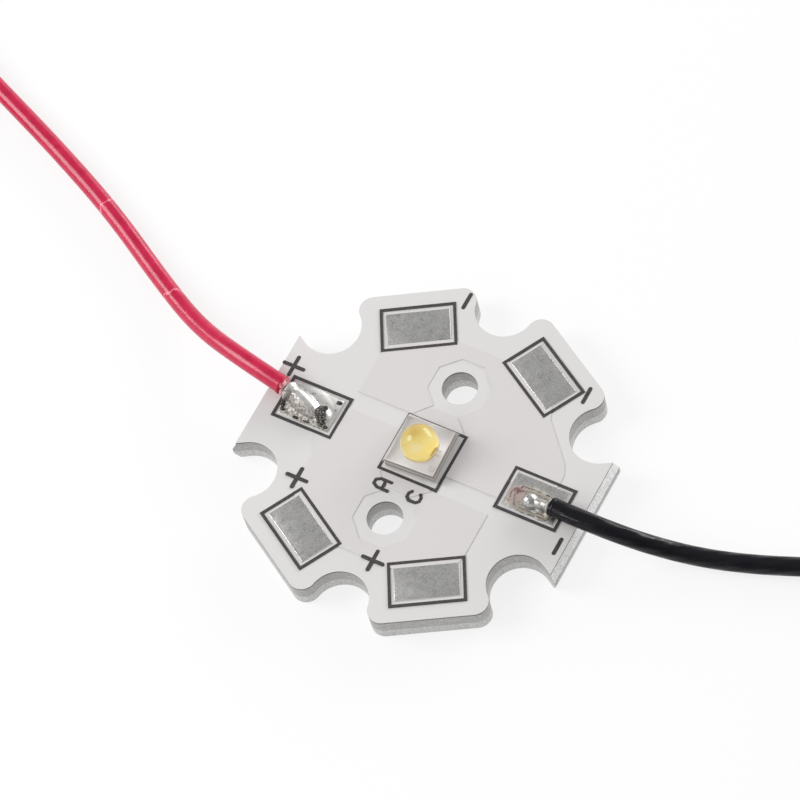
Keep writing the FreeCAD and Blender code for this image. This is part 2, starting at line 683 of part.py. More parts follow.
# Leads. Each runs from its joint over the board's edge, down to the surface and to its coil.
# A route's point is how far it is past the edge of the star, its place across, and its height
# between a lead that lies down (0) and one that passes over the board (1). The first point is
# the end of the insulation, and the last is the height of the coil's lowest turn.
LYING = "(Sizes.lead_width / 2 + 0.005)"
PASSING = f"({MASK_TOP} + Sizes.lead_width / 2 + 0.095)"
WOUND = "(Sizes.tie_thick + Sizes.lead_width / 2 + 0.005)"
ROUTES = {
    "red": (-1, [
        (-1.20, 0.28, 1),
        (1.90, 0.85, 1),
        (5.60, 2.10, 0.21),
        (9.00, 3.95, 0),
        (13.90, 6.75, 0),
        (19.00, 9.10, 0),
        (24.30, 11.30, 0),
        (28.82, 13.14, None),
    ]),
    "black": (1, [
        (-1.85, -0.30, 1),
        (1.60, -0.36, 1),
        (4.90, 0.66, 0),
        (8.20, 1.42, 0),
        (12.00, 2.85, 0),
        (20.02, 6.08, None),
    ]),
}
# Where each lead meets its coil past the edge, its heading there, and the coil's side (+1 left)
COIL_ENTRY = {
    "red": ((32.52, 14.64), (-0.926, 0.377), 1),
    "black": ((23.92, 7.63), (0.929, 0.370), -1),
}
# Turns that the lead makes in its coil before its end leaves at a tangent, and how far
# round from the entry each of the two ties is
COIL_TURNS = {"red": 4.4375, "black": 5.25}
TIE_PLACES = {"red": (100, 260), "black": (60, 220)}
TURN_RADIUS = 7.2


def route_points(colour):
    """The corners of a lead's route."""
    end, places = ROUTES[colour]
    edge = value("Sizes.star_width / 2")
    lying, passing, wound = value(LYING), value(PASSING), value(WOUND)
    points = []
    for past, across, rise in places:
        height = wound if rise is None else lying + (passing - lying) * rise
        points.append(Vector(end * (edge + past), across, height))
    return points


def rounded_path(points):
    """Straight runs joined by tangent arcs, each arc as large as its two runs allow."""
    edges = []
    radii = []
    cursor = points[0]
    for before, corner, after in zip(points, points[1:], points[2:]):
        into = (corner - before).normalize()
        out = (after - corner).normalize()
        turn = into.getAngle(out)
        reach = 0.45 * min(corner.distanceToPoint(before), corner.distanceToPoint(after))
        radius = reach / math.tan(turn / 2)
        radii.append(radius)
        start = corner - into * reach
        end = corner + out * reach
        inward = (out - into).normalize()
        middle = corner + inward * (radius / math.cos(turn / 2) - radius)
        edges.append(Part.LineSegment(cursor, start).toShape())
        edges.append(Part.Arc(start, middle, end).toShape())
        cursor = end
    edges.append(Part.LineSegment(cursor, points[-1]).toShape())
    return Part.Wire(edges), radii


def lead_tube(colour):
    points = route_points(colour)
    path, radii = rounded_path(points)
    heading = (points[1] - points[0]).normalize()
    ring = Part.Wire([Part.Circle(points[0], heading, value("Sizes.lead_width / 2")).toShape()])
    tube = doc.addObject("Part::Feature", colour + "_tube")
    tube.Shape = path.makePipeShell([ring], True, True)
    expected = math.pi * value("Sizes.lead_width / 2") ** 2 * path.Length
    print(f"{colour} lead: radii {[round(r, 1) for r in radii]}, tube {path.Length:.1f} mm, "
          f"volume {tube.Shape.Volume:.2f} of {expected:.2f}")
    keep(colour + "_lead_tube", tube)


def coil_frame(colour):
    """The coil's centre and the direction from it to where the lead comes in."""
    (past, y), (along, across), side = COIL_ENTRY[colour]
    x = ROUTES[colour][0] * (value("Sizes.star_width / 2") + past)
    centre = Vector(x - side * across * TURN_RADIUS, y + side * along * TURN_RADIUS, 0)
    return centre, Vector(x, y, 0) - centre, side


def lead_coil(colour):
    """The outer shape of the wound length: one flat ring, held off the surface by its ties."""
    centre, entry, side = coil_frame(colour)
    outer = doc.addObject("Part::Cylinder", colour + "_coil_outer")
    outer.setExpression("Radius", "Sizes.coil_outer")
    inner = doc.addObject("Part::Cylinder", colour + "_coil_inner")
    inner.setExpression("Radius", f"Sizes.{colour}_coil_inner")
    for cylinder in (outer, inner):
        cylinder.setExpression("Height", "Sizes.coil_height")
        cylinder.Placement.Base = centre
        cylinder.setExpression(".Placement.Base.z", "Sizes.tie_thick")
    ring = doc.addObject("Part::Cut", colour + "_coil")
    ring.Base = outer
    ring.Tool = inner
    keep(colour + "_lead_coil", ring)


def lead_ties(colour):
    """Two flat bands wrapped round the coil."""
    centre, entry, side = coil_frame(colour)
    bands = []
    for index, angle in enumerate(TIE_PLACES[colour]):
        name = f"{colour}_tie_{index + 1}"
        body = new_body(name)
        outline = new_sketch(body, "XZ_Plane", name + "_outline")
        middle = f"(Sizes.coil_outer + Sizes.{colour}_coil_inner) / 2"
        rise = "Sizes.tie_thick + Sizes.coil_height / 2"
        span = f"(Sizes.coil_outer - Sizes.{colour}_coil_inner + 0.16)"
        rectangle(outline, f"({span} + 2 * Sizes.tie_thick)", "(Sizes.coil_height + 2 * Sizes.tie_thick)",
                  middle, rise)
        band = pad(body, outline, "Sizes.tie_width")
        band.SideType = "Symmetric"
        hollow = new_sketch(body, "XZ_Plane", name + "_hollow")
        rectangle(hollow, span, "Sizes.coil_height", middle, rise)
        pocket(body, hollow)
        turn = math.degrees(math.atan2(entry.y, entry.x)) + side * angle
        body.Placement = Placement(centre, Rotation(Vector(0, 0, 1), turn))
        bands.append(body)
    ties = doc.addObject("Part::Compound", colour + "_ties")
    ties.Links = bands
    keep(colour + "_lead_ties", ties)


def rod(name, start, end, width):
    """A plain round piece between two points."""
    piece = doc.addObject("Part::Cylinder", name)
    piece.setExpression("Radius", f"{width} / 2")
    piece.Height = start.distanceToPoint(end)
    piece.Placement = Placement(start, Rotation(Vector(0, 0, 1), end - start))
    return piece


def lead_tip(colour):
    """The stripped far end: it leaves the coil's top turn at a tangent and rests on the surface."""
    centre, entry, side = coil_frame(colour)
    turned = Rotation(Vector(0, 0, 1), side * 360 * COIL_TURNS[colour])
    outward = turned.multVec(entry).normalize()
    ahead = turned.multVec(Rotation(Vector(0, 0, 1), side * 90).multVec(entry)).normalize()
    height = value("Sizes.tip_height")
    start = centre + outward * TURN_RADIUS + ahead * value("Sizes.tail_length") + Vector(0, 0, height)
    end = start + ahead * value("Sizes.tip_length") + Vector(0, 0, value("Sizes.core_width / 2") + 0.02 - height)
    keep(colour + "_lead_tip", rod(colour + "_tip", start, end, "Sizes.core_width"))


# Hand-soldered joints. The core's end is its distance in from the star's edge, its middle and
# its height over the mask. A section is its distance in, its middle, its width as a share of
# the pad's and its height as a share of the lead's.
JOINTS = {
    "red": {
        "core_end": (3.10, -0.05, 0.39),
        "sections": [
            (1.38, 0.24, 0.34, 0.82),
            (1.70, 0.12, 0.755, 0.82),
            (2.40, 0.02, 0.962, 0.82),
            (3.10, -0.04, 0.981, 0.724),
            (3.80, -0.04, 0.972, 0.438),
            (4.25, 0.00, 0.953, 0.19),
            (4.58, 0.00, 0.934, 0.076),
        ],
    },
    "black": {
        "core_end": (3.05, -0.36, 0.44),
        "sections": [
            (3.68, -0.36, 0.283, 0.152),
            (3.55, -0.36, 0.448, 0.476),
            (3.25, -0.38, 0.575, 0.82),
            (2.85, -0.38, 0.613, 0.933),
            (2.45, -0.35, 0.547, 0.876),
            (2.10, -0.32, 0.425, 0.82),
            (1.80, -0.30, 0.35, 0.80),
        ],
    },
}


def joint_section(x, middle, width, height, floor):
    """A closed profile across the joint: flat below, one smooth crown above."""
    crown = [(-0.5, 0), (-0.44, 0.42), (-0.28, 0.82), (0, 1), (0.28, 0.82), (0.44, 0.42), (0.5, 0)]
    points = [Vector(x, middle + across * width, floor + up * height) for across, up in crown]
    curve = Part.BSplineCurve()
    curve.interpolate(points)
    return Part.Wire([curve.toShape(), Part.LineSegment(points[-1], points[0]).toShape()])


def solder_joint(colour):
    """The stripped core, and the solder that has flowed over it and over the pad."""
    side = ROUTES[colour][0]
    edge = value("Sizes.star_width / 2")
    inset, middle, rise = JOINTS[colour]["core_end"]
    start = route_points(colour)[0]
    end = Vector(side * (edge - inset), middle, value(MASK_TOP) + rise)
    core = doc.addObject("Part::Cut", colour + "_core")
    core.Base = rod(colour + "_core_rod", start, end, "Sizes.core_width")
    core.Tool = nodes[colour + "_lead_tube"]
    keep(colour + "_lead_core", core)
    floor = value(COPPER_TOP + " + Sizes.tin_thick")
    pad_width, lead_width = value("Sizes.wire_pad_wide"), value("Sizes.lead_width")
    sections = [joint_section(side * (edge - inset), middle, pad_width * width, lead_width * height, floor)
                for inset, middle, width, height in JOINTS[colour]["sections"]]
    blob = doc.addObject("Part::Feature", colour + "_blob")
    blob.Shape = Part.makeLoft(sections, True, False)
    lead = doc.addObject("Part::MultiFuse", colour + "_lead_end")
    lead.Shapes = [core, nodes[colour + "_lead_tube"]]
    joint = doc.addObject("Part::Cut", colour + "_joint")
    joint.Base = blob
    joint.Tool = lead
    keep(colour + "_solder_joint", joint)


aluminium_base()
dielectric_layer()
copper_cathode()
copper_anode()
copper_thermal()
solder_mask()
pad_tins()
legend_frames()
led_contacts()
led_inside()
bond_wires()
led_lens()
for colour in ROUTES:
    lead_tube(colour)
    solder_joint(colour)
    lead_coil(colour)
    lead_ties(colour)
    lead_tip(colour)
doc.recompute()

# Nothing is written unless every object and every sub-part is sound
for item in doc.Objects:
    if "Invalid" in item.State or "Error" in item.State:
        raise RuntimeError(f"{item.Label}: {item.State}")
for label, piece in nodes.items():
    if piece.Shape.isNull() or not piece.Shape.isValid():
        raise RuntimeError(f"{label}: its shape is not sound")

os.makedirs("parts", exist_ok=True)
for label, piece in nodes.items():
    piece.Shape.exportStep(f"parts/{label}.step")
print(f"{len(nodes)} sub-parts written")
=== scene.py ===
import itertools
import math

import bmesh
import bpy
from mathutils import Matrix, Vector


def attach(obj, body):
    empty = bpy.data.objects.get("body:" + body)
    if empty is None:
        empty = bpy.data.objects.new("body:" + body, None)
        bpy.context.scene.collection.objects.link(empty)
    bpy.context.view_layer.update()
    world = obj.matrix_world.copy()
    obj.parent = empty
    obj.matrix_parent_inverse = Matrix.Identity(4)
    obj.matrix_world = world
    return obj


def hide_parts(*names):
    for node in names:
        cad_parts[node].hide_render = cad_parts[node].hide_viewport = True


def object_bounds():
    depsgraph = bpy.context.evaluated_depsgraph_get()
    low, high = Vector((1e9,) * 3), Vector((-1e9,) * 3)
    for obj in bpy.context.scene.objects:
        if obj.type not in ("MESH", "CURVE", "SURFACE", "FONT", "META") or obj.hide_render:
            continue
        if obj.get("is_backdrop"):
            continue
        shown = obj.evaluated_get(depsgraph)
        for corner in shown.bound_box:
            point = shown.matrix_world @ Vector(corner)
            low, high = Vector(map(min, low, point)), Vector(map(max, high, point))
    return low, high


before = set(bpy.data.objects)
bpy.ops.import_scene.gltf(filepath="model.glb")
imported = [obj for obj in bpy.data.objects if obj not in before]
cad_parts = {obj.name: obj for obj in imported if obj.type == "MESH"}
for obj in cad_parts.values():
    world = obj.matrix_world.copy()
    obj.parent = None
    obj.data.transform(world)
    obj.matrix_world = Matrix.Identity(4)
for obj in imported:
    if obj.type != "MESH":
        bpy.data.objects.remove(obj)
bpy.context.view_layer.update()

# Camera: a long lens above the board's front corner, turned so that the leads
# cross the picture from its upper left to its lower right.
camera = bpy.data.objects.new("camera", bpy.data.cameras.new("camera"))
bpy.context.scene.collection.objects.link(camera)
camera.data.sensor_width = 36
camera.data.lens = 208.42
camera.data.clip_end = 10
camera.location = (0.08439, -0.08729, 0.22088)
camera.rotation_mode = "QUATERNION"
camera.rotation_quaternion = (0.94145, 0.21942, 0.13215, 0.21922)
bpy.context.scene.camera = camera


# Materials: the small tools that all the finishes below are made with.
def finish(name, colour, roughness, metallic=0.0, **more):
    """A new material on one Principled shader; more names its other sockets."""
    made = bpy.data.materials.new(name)
    made.use_nodes = True
    shader = made.node_tree.nodes["Principled BSDF"]
    shader.inputs["Base Color"].default_value = (*colour, 1)
    shader.inputs["Roughness"].default_value = roughness
    shader.inputs["Metallic"].default_value = metallic
    for socket, amount in more.items():
        shader.inputs[socket.replace("_", " ")].default_value = amount
    return made


def put(tree, kind, sockets=(), **settings):
    """Adds a shader node; each socket takes a plain value or another node's output."""
    added = tree.nodes.new("ShaderNode" + kind)
    for setting, amount in settings.items():
        setattr(added, setting, amount)
    for socket, amount in dict(sockets).items():
        if isinstance(amount, bpy.types.NodeSocket):
            tree.links.new(amount, added.inputs[socket])
        else:
            added.inputs[socket].default_value = amount
    return added


def feed(made, socket, output):
    """Links an output to a socket of the material's shader."""
    made.node_tree.links.new(output, made.node_tree.nodes["Principled BSDF"].inputs[socket])


def shade(made, mask, below, above):
    """The colour that goes from one to the other as the mask goes from 0 to 1."""
    below, above = (colour if isinstance(colour, bpy.types.NodeSocket) else (*colour, 1)
                    for colour in (below, above))
    return put(made.node_tree, "Mix", {0: mask, 6: below, 7: above}, data_type="RGBA").outputs[2]


def ramp(tree, amount, start, end, low=0.0, high=1.0):
    """A number that goes from low to high while the amount goes from start to end."""
    sockets = {"Value": amount, "From Min": start, "From Max": end, "To Min": low, "To Max": high}
    return put(tree, "MapRange", sockets).outputs[0]


def reckon(tree, operation, *amounts):
    """One sum on up to three numbers, such as ABSOLUTE, MULTIPLY or MULTIPLY_ADD."""
    return put(tree, "Math", dict(enumerate(amounts)), operation=operation).outputs[0]


# Grain is the cloudy or streaky variation that most of the finishes share. It gives
# a mask, and the normal of a surface that stands up where that mask is light.
grain_group = bpy.data.node_groups.new("grain", "ShaderNodeTree")
for socket, kind, usual in (("Size", "NodeSocketFloat", 0.001), ("Stretch", "NodeSocketVector", (1, 1, 1)),
                            ("Low", "NodeSocketFloat", 0.35), ("High", "NodeSocketFloat", 0.65),
                            ("Height", "NodeSocketFloat", 0.0)):
    grain_group.interface.new_socket(socket, in_out="INPUT", socket_type=kind).default_value = usual
grain_group.interface.new_socket("Mask", in_out="OUTPUT", socket_type="NodeSocketFloat")
grain_group.interface.new_socket("Normal", in_out="OUTPUT", socket_type="NodeSocketVector")
grain_in = grain_group.nodes.new("NodeGroupInput")
grain_out = grain_group.nodes.new("NodeGroupOutput")
grain_pitch = reckon(grain_group, "DIVIDE", 1.0, grain_in.outputs["Size"])
grain_scale = put(grain_group, "VectorMath", {0: grain_in.outputs["Stretch"], "Scale": grain_pitch},
                  operation="SCALE")
grain_place = put(grain_group, "VectorMath", {0: put(grain_group, "TexCoord").outputs["Object"],
                                              1: grain_scale.outputs[0]}, operation="MULTIPLY")
grain_cloud = put(grain_group, "TexNoise", {"Vector": grain_place.outputs[0], "Scale": 1.0,
                                            "Detail": 4.0, "Roughness": 0.6})
grain_mask = ramp(grain_group, grain_cloud.outputs["Fac"], grain_in.outputs["Low"],
                  grain_in.outputs["High"])
grain_bump = put(grain_group, "Bump", {"Distance": grain_in.outputs["Height"], "Height": grain_mask})
grain_group.links.new(grain_mask, grain_out.inputs["Mask"])
grain_group.links.new(grain_bump.outputs[0], grain_out.inputs["Normal"])


def grain(made, size, low=0.35, high=0.65, height=0.0, stretch=(1, 1, 1)):
    """Places the grain in a material, its size and height in metres; returns mask and normal."""
    placed = put(made.node_tree, "Group", node_tree=grain_group)
    sockets = {"Size": size, "Stretch": stretch, "Low": low, "High": high, "Height": height}
    for socket, amount in sockets.items():
        placed.inputs[socket].default_value = amount
    return placed.outputs["Mask"], placed.outputs["Normal"]


def mottle_colour(made, size, below, above, **more):
    """Clouds a finish between two colours, and raises it where the second one shows."""
    mask, normal = grain(made, size, **more)
    feed(made, "Base Color", shade(made, mask, below, above))
    feed(made, "Normal", normal)


def mottle_gloss(made, size, smooth, rough, height=0.0, stretch=(1, 1, 1)):
    """Clouds a finish between two roughnesses, and raises the rougher spots if it has a height."""
    mask, normal = grain(made, size, height=height, stretch=stretch)
    feed(made, "Roughness", ramp(made.node_tree, mask, 0, 1, smooth, rough))
    if height:
        feed(made, "Normal", normal)


def reach(tree, place, heading):
    """How far the surface lies from a place along a heading, in metres."""
    where = put(tree, "VectorMath", {0: put(tree, "TexCoord").outputs["Object"], 1: place},
                operation="SUBTRACT").outputs[0]
    return put(tree, "VectorMath", {0: where, 1: Vector(heading).normalized()},
               operation="DOT_PRODUCT").outputs["Value"]


def distance(tree, place):
    """How far the surface lies from a place, in metres."""
    return put(tree, "VectorMath", {0: put(tree, "TexCoord").outputs["Object"], 1: place},
               operation="DISTANCE").outputs["Value"]


def height_at(tree):
    """How high the surface lies above the table, in metres."""
    return put(tree, "SeparateXYZ", {0: put(tree, "TexCoord").outputs["Object"]}).outputs[2]


def upwardness(tree):
    """1 where the surface faces up, 0 where it is upright and -1 where it faces down."""
    return put(tree, "SeparateXYZ", {0: put(tree, "NewGeometry").outputs["Normal"]}).outputs[2]


# Leads: stranded copper in a smooth vinyl insulation, 1.05 mm across and 200 mm long.
# Each one drops from its joint over the star's edge, lies on the table and is
# wound up beyond it in two layers, the lower one inwards and the upper one outwards.
LEAD_WIDTH = 0.00105
TURN_RADIUS = 0.0072
LOWER_LAYER = 0.00083
UPPER_LAYER = 0.0019


def coil_middle(entry, heading, side):
    """The middle of a coil, and the direction to it from where its lead comes in."""
    ahead = Vector(heading).to_3d().normalized()
    inwards = Vector((-ahead.y, ahead.x, 0)) * side
    return Vector(entry).to_3d() + inwards * TURN_RADIUS, inwards


def coil_points(entry, heading, side, turns, inner_turn):
    """The wound length: in along the lower layer, up, out along the upper one, and off."""
    ahead = Vector(heading).to_3d().normalized()
    centre, to_centre = coil_middle(entry, heading, side)
    steps_a_turn = 16
    climb = 0.35  # turns from the lower layer to the upper one
    layer = (turns - climb) / 2
    points = []
    for step in range(round(turns * steps_a_turn) + 1):
        turned = step / steps_a_turn
        inward = min(turned / layer, 1)
        outward = max(turned - layer - climb, 0) / layer
        radius = TURN_RADIUS - (TURN_RADIUS - inner_turn) * (inward - outward)
        up = min(max((turned - layer) / climb, 0), 1)
        spoke = Matrix.Rotation(side * turned * 2 * math.pi, 3, "Z") @ -to_centre
        height = LOWER_LAYER + (UPPER_LAYER - LOWER_LAYER) * up
        points.append(centre + spoke * radius + Vector((0, 0, height)))
    last = Matrix.Rotation(side * turns * 2 * math.pi, 3, "Z")
    away = last @ ahead
    rim = centre + last @ -to_centre * TURN_RADIUS
    # The end runs straight off the last turn and leans down towards the table.
    points[-1] = rim + away * 0.0002 + Vector((0, 0, UPPER_LAYER))
    points.append(rim + away * 0.0016 + Vector((0, 0, 0.00172)))
    points.append(rim + away * 0.00375 + Vector((0, 0, 0.00125)))
    return points


def lay_lead(name, route):
    """One smooth round lead whose line has the route's points as its controls."""
    curve = bpy.data.curves.new(name, "CURVE")
    curve.dimensions = "3D"
    curve.bevel_depth = LEAD_WIDTH / 2
    curve.bevel_resolution = 6
    curve.use_fill_caps = True
    line = curve.splines.new("NURBS")
    line.points.add(len(route) - 1)
    for point, place in zip(line.points, route):
        point.co = (*place, 1)
    line.order_u = 3
    line.use_endpoint_u = True
    line.resolution_u = 6
    lead = bpy.data.objects.new(name, curve)
    bpy.context.scene.collection.objects.link(lead)
    return lead


red_coil = ((-0.04252, 0.01464), (-0.926, 0.377), 1)
black_coil = ((0.03392, 0.00763), (0.929, 0.370), -1)
red_route = [
    Vector((-0.00880, 0.00028, 0.00228)),
    Vector((-0.01176, 0.00085, 0.00224)),
    Vector((-0.01543, 0.00206, 0.00110)),
    Vector((-0.01899, 0.00394, 0.00054)),
    Vector((-0.02390, 0.00675, 0.00053)),
    Vector((-0.02900, 0.00910, 0.00053)),
    Vector((-0.03430, 0.01130, 0.00053)),
    Vector((-0.03882, 0.01314, 0.00083)),
] + coil_points(*red_coil, 4.4375, 0.0046)
black_route = [
    Vector((0.00815, -0.00030, 0.00228)),
    Vector((0.01160, -0.00036, 0.00228)),
    Vector((0.01490, 0.00066, 0.00053)),
    Vector((0.01820, 0.00142, 0.00053)),
    Vector((0.02200, 0.00285, 0.00053)),
    Vector((0.03002, 0.00608, 0.00083)),
] + coil_points(*black_coil, 5.25, 0.0034)

# Red insulation: saturated, a little cloudy, with two pale rings where it was bent.
red_vinyl = finish("red_vinyl", (0.50, 0.006, 0.055), 0.25, Specular_IOR_Level=0.45)
red_mask, red_normal = grain(red_vinyl, 0.0006, height=0.000004)
red_colour = shade(red_vinyl, red_mask, (0.46, 0.003, 0.042), (0.57, 0.009, 0.066))
wobble, _ = grain(red_vinyl, 0.0005, 0.2, 0.8)
tree = red_vinyl.node_tree
for place, heading in (((-0.0245, 0.0070, 0.0009), (-0.95, 0.32, 0)),
                       ((-0.0180, 0.0033, 0.0011), (-0.7, 0.7, 0))):
    waved = reckon(tree, "MULTIPLY_ADD", wobble, 0.0006, reach(tree, place, heading))
    off = reckon(tree, "ABSOLUTE", reckon(tree, "SUBTRACT", waved, 0.0003))
    ring = reckon(tree, "MULTIPLY", ramp(tree, off, 0.00007, 0.00002),
                  ramp(tree, distance(tree, place), 0.0012, 0.0007))
    red_colour = shade(red_vinyl, ring, red_colour, (0.80, 0.22, 0.30))
feed(red_vinyl, "Base Color", red_colour)
feed(red_vinyl, "Normal", red_normal)

# Black insulation: glossy, and the lay of the six outer strands inside shows as faint
# spirals that break up its highlight.
black_vinyl = finish("black_vinyl", (0.005, 0.004, 0.007), 0.3, Specular_IOR_Level=0.25)
tree = black_vinyl.node_tree
along_lead, round_lead = put(tree, "SeparateXYZ", {0: put(tree, "TexCoord").outputs["UV"]}).outputs[:2]
ridges, strands = 215.0, 6.0  # ridges met along the whole lead, and once round it
spiral = reckon(tree, "MULTIPLY_ADD", along_lead, ridges, reckon(tree, "MULTIPLY", round_lead, strands))
swell = reckon(tree, "PINGPONG", spiral, 0.5)
black_mask, black_normal = grain(black_vinyl, 0.0004, height=0.000003)
spiral_normal = put(tree, "Bump", {"Distance": 0.00004, "Height": swell, "Normal": black_normal})
feed(black_vinyl, "Normal", spiral_normal.outputs[0])
feed(black_vinyl, "Roughness", ramp(tree, black_mask, 0, 1, 0.14, 0.32))

leads = {}
for colour, route, vinyl in (("red", red_route, red_vinyl), ("black", black_route, black_vinyl)):
    lead = lay_lead(f"{colour}_lead", route)
    lead.data.materials.append(vinyl)
    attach(lead, "root")
    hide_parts(f"{colour}_lead_tube", f"{colour}_lead_coil")
    leads[colour] = (lead, route)


# Ties: a black band with round corners round each side of a coil. It is slack, so it
# stands off the turns where they don't fill it. The coil rests on its two bands.
TIE_WIDTH, TIE_THICKNESS = 0.0012, 0.00026
TIE_CORNER = LEAD_WIDTH / 2 + 0.00002
TIE_OUTER, TIE_LOW, TIE_HIGH = 0.00726, 0.00083, 0.00193
tie_band = finish("tie_band", (0.022, 0.022, 0.024), 0.5)
mottle_gloss(tie_band, 0.00015, 0.4, 0.62, height=0.00001, stretch=(1, 1, 0.6))


def place_mesh(name, shape, *finishes):
    """Puts a finished bmesh in the scene as a piece of the board."""
    piece = bpy.data.objects.new(name, bpy.data.meshes.new(name))
    shape.to_mesh(piece.data)
    shape.free()
    bpy.context.scene.collection.objects.link(piece)
    for made in finishes:
        piece.data.materials.append(made)
    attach(piece, "root")
    return piece


def smooth_faces(piece, degrees):
    """Shades a piece smooth, apart from the edges that turn by more than an angle."""
    piece.data.shade_smooth()
    piece.data.set_sharp_from_angle(angle=math.radians(degrees))


def vertices_among(items):
    """The vertices among the items that a mesh operator gives back."""
    return [item for item in items if isinstance(item, bmesh.types.BMVert)]


def wrap_turns(bands, inner, stand):
    """Adds one tie, from the inner turns out, and sets it on its spoke of the coil."""
    band = bmesh.new()
    upright = Matrix.Rotation(math.radians(90), 4, "X")
    for away, up, side in itertools.product((inner, TIE_OUTER), (TIE_LOW, TIE_HIGH), (-1, 1)):
        ring = bmesh.ops.create_circle(band, segments=16, radius=TIE_CORNER)["verts"]
        spot = Matrix.Translation((away, side * TIE_WIDTH / 2, up)) @ upright
        bmesh.ops.transform(band, matrix=spot, verts=ring)
    hull = bmesh.ops.convex_hull(band, input=band.verts)
    inside = set(vertices_among(hull["geom_interior"] + hull["geom_unused"]))
    bmesh.ops.delete(band, geom=list(inside), context="VERTS")
    bmesh.ops.recalc_face_normals(band, faces=band.faces)
    caps = [face for face in band.faces if abs(face.normal.y) > 0.9]
    bmesh.ops.delete(band, geom=caps, context="FACES")
    bmesh.ops.dissolve_limit(band, angle_limit=math.radians(1), verts=band.verts, edges=band.edges)
    bmesh.ops.solidify(band, geom=band.faces[:], thickness=-TIE_THICKNESS)
    bmesh.ops.recalc_face_normals(band, faces=band.faces)
    rims = [edge for edge in band.edges if edge.calc_face_angle(0) > math.radians(70)]
    bmesh.ops.bevel(band, geom=rims, offset=0.00006, segments=2, profile=0.5, affect="EDGES",
                    material=-1)
    bmesh.ops.transform(band, matrix=stand, verts=band.verts)
    wrapped = bpy.data.meshes.new("wrapped")
    band.to_mesh(wrapped)
    band.free()
    bands.from_mesh(wrapped)
    bpy.data.meshes.remove(wrapped)


ties = {}
for colour, coil, places, inner in (("red", red_coil, (100, 260), 0.00454),
                                    ("black", black_coil, (60, 220), 0.00334)):
    centre, inwards = coil_middle(*coil)
    bands = bmesh.new()
    for angle in places:
        spoke = Matrix.Rotation(math.radians(coil[2] * angle), 3, "Z") @ -inwards
        stand = Matrix((spoke, (-spoke.y, spoke.x, 0), (0, 0, 1))).transposed().to_4x4()
        stand.translation = centre
        wrap_turns(bands, inner, stand)
    ties[colour] = place_mesh(f"{colour}_ties", bands, tie_band)
    smooth_faces(ties[colour], 40)
    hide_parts(f"{colour}_lead_ties")


# Bare far ends: seven tinned strands twisted together, reaching down to the table
# from the end of the insulation on the top of each coil.
STRAND_WIDTH = 0.00017
TIP_LENGTH = 0.005
TIP_TWIST, TIP_STEPS = 430, 24  # degrees and slices over its whole length
tinned_strand = finish("tinned_strand", (0.62, 0.60, 0.56), 0.3, 1.0)
mottle_colour(tinned_strand, 0.0002, (0.50, 0.47, 0.43), (0.70, 0.69, 0.66), height=0.000006)

for colour, (lead, route) in leads.items():
    start, before = route[-1], route[-2]
    level = Vector((start.x - before.x, start.y - before.y, 0)).normalized()
    fall = Vector((0, 0, 0.00027 - start.z)) / TIP_LENGTH
    axis = (level + fall).normalized()
    twist = bmesh.new()
    for index in range(7):
        strand = bmesh.ops.create_circle(twist, segments=8, radius=STRAND_WIDTH / 2)
        if index:
            turned = Matrix.Rotation(math.radians(60 * index), 4, "Z")
            aside = turned @ Matrix.Translation((STRAND_WIDTH, 0, 0))
            bmesh.ops.transform(twist, matrix=aside, verts=strand["verts"])
        ring = list({edge for vert in strand["verts"] for edge in vert.link_edges})
        bmesh.ops.spin(twist, geom=ring, axis=(0, 0, 1), cent=(0, 0, 0), steps=TIP_STEPS,
                       angle=math.radians(TIP_TWIST), dvec=(0, 0, TIP_LENGTH / TIP_STEPS))
    bmesh.ops.holes_fill(twist, edges=[edge for edge in twist.edges if edge.is_boundary])
    bmesh.ops.recalc_face_normals(twist, faces=twist.faces)
    stand = Matrix.Translation(start) @ axis.to_track_quat("Z", "Y").to_matrix().to_4x4()
    bmesh.ops.transform(twist, matrix=stand, verts=twist.verts)
    tip = place_mesh(f"{colour}_strands", twist, tinned_strand)
    tip.data.shade_smooth()
    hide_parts(f"{colour}_lead_tip")

# Star plate: 1.5 mm aluminium, routed round its edge in two passes and snapped from
# its strip along two scored lines. Its back is bare, its walls are matte and grey,
# and its up-tilted scored faces carry painted light.
routed_aluminium = finish("routed_aluminium", (0.50, 0.495, 0.49), 0.42, 0.85)
wall_mask, wall_normal = grain(routed_aluminium, 0.00012, 0.3, 0.7, height=0.000020)
streaks, _ = grain(routed_aluminium, 0.0004, 0.35, 0.65, stretch=(1, 1, 2.5))
tree = routed_aluminium.node_tree
height_up_wall = height_at(tree)
upper_pass = ramp(tree, height_up_wall, 0.00070, 0.00078)
lower_colour = shade(routed_aluminium, wall_mask, (0.42, 0.415, 0.41), (0.74, 0.735, 0.73))
upper_colour = shade(routed_aluminium, wall_mask, (0.27, 0.265, 0.26), (0.68, 0.675, 0.67))
upper_colour = shade(routed_aluminium, streaks, upper_colour, (0.40, 0.395, 0.39))
wall_colour = shade(routed_aluminium, upper_pass, lower_colour, upper_colour)
ledge = reckon(tree, "COMPARE", height_up_wall, 0.00074, 0.00003)
wall_colour = shade(routed_aluminium, ledge, wall_colour, (0.40, 0.395, 0.39))
# Painted light: faces that tilt upwards, the scored bevels, are coloured far lighter, up to white.
painted_light_on_slope = ramp(tree, upwardness(tree), 0.15, 0.35)
wall_colour = shade(routed_aluminium, painted_light_on_slope, wall_colour, shade(
    routed_aluminium, wall_mask, (0.64, 0.635, 0.63), (1.0, 0.995, 0.99)))
feed(routed_aluminium, "Base Color", wall_colour)
feed(routed_aluminium, "Roughness", ramp(tree, wall_mask, 0, 1, 0.36, 0.55))
feed(routed_aluminium, "Normal", wall_normal)


def dress(node, made):
    """Gives a part that keeps its own shape its finish."""
    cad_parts[node].data.materials.clear()
    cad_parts[node].data.materials.append(made)


dress("aluminium_base", routed_aluminium)

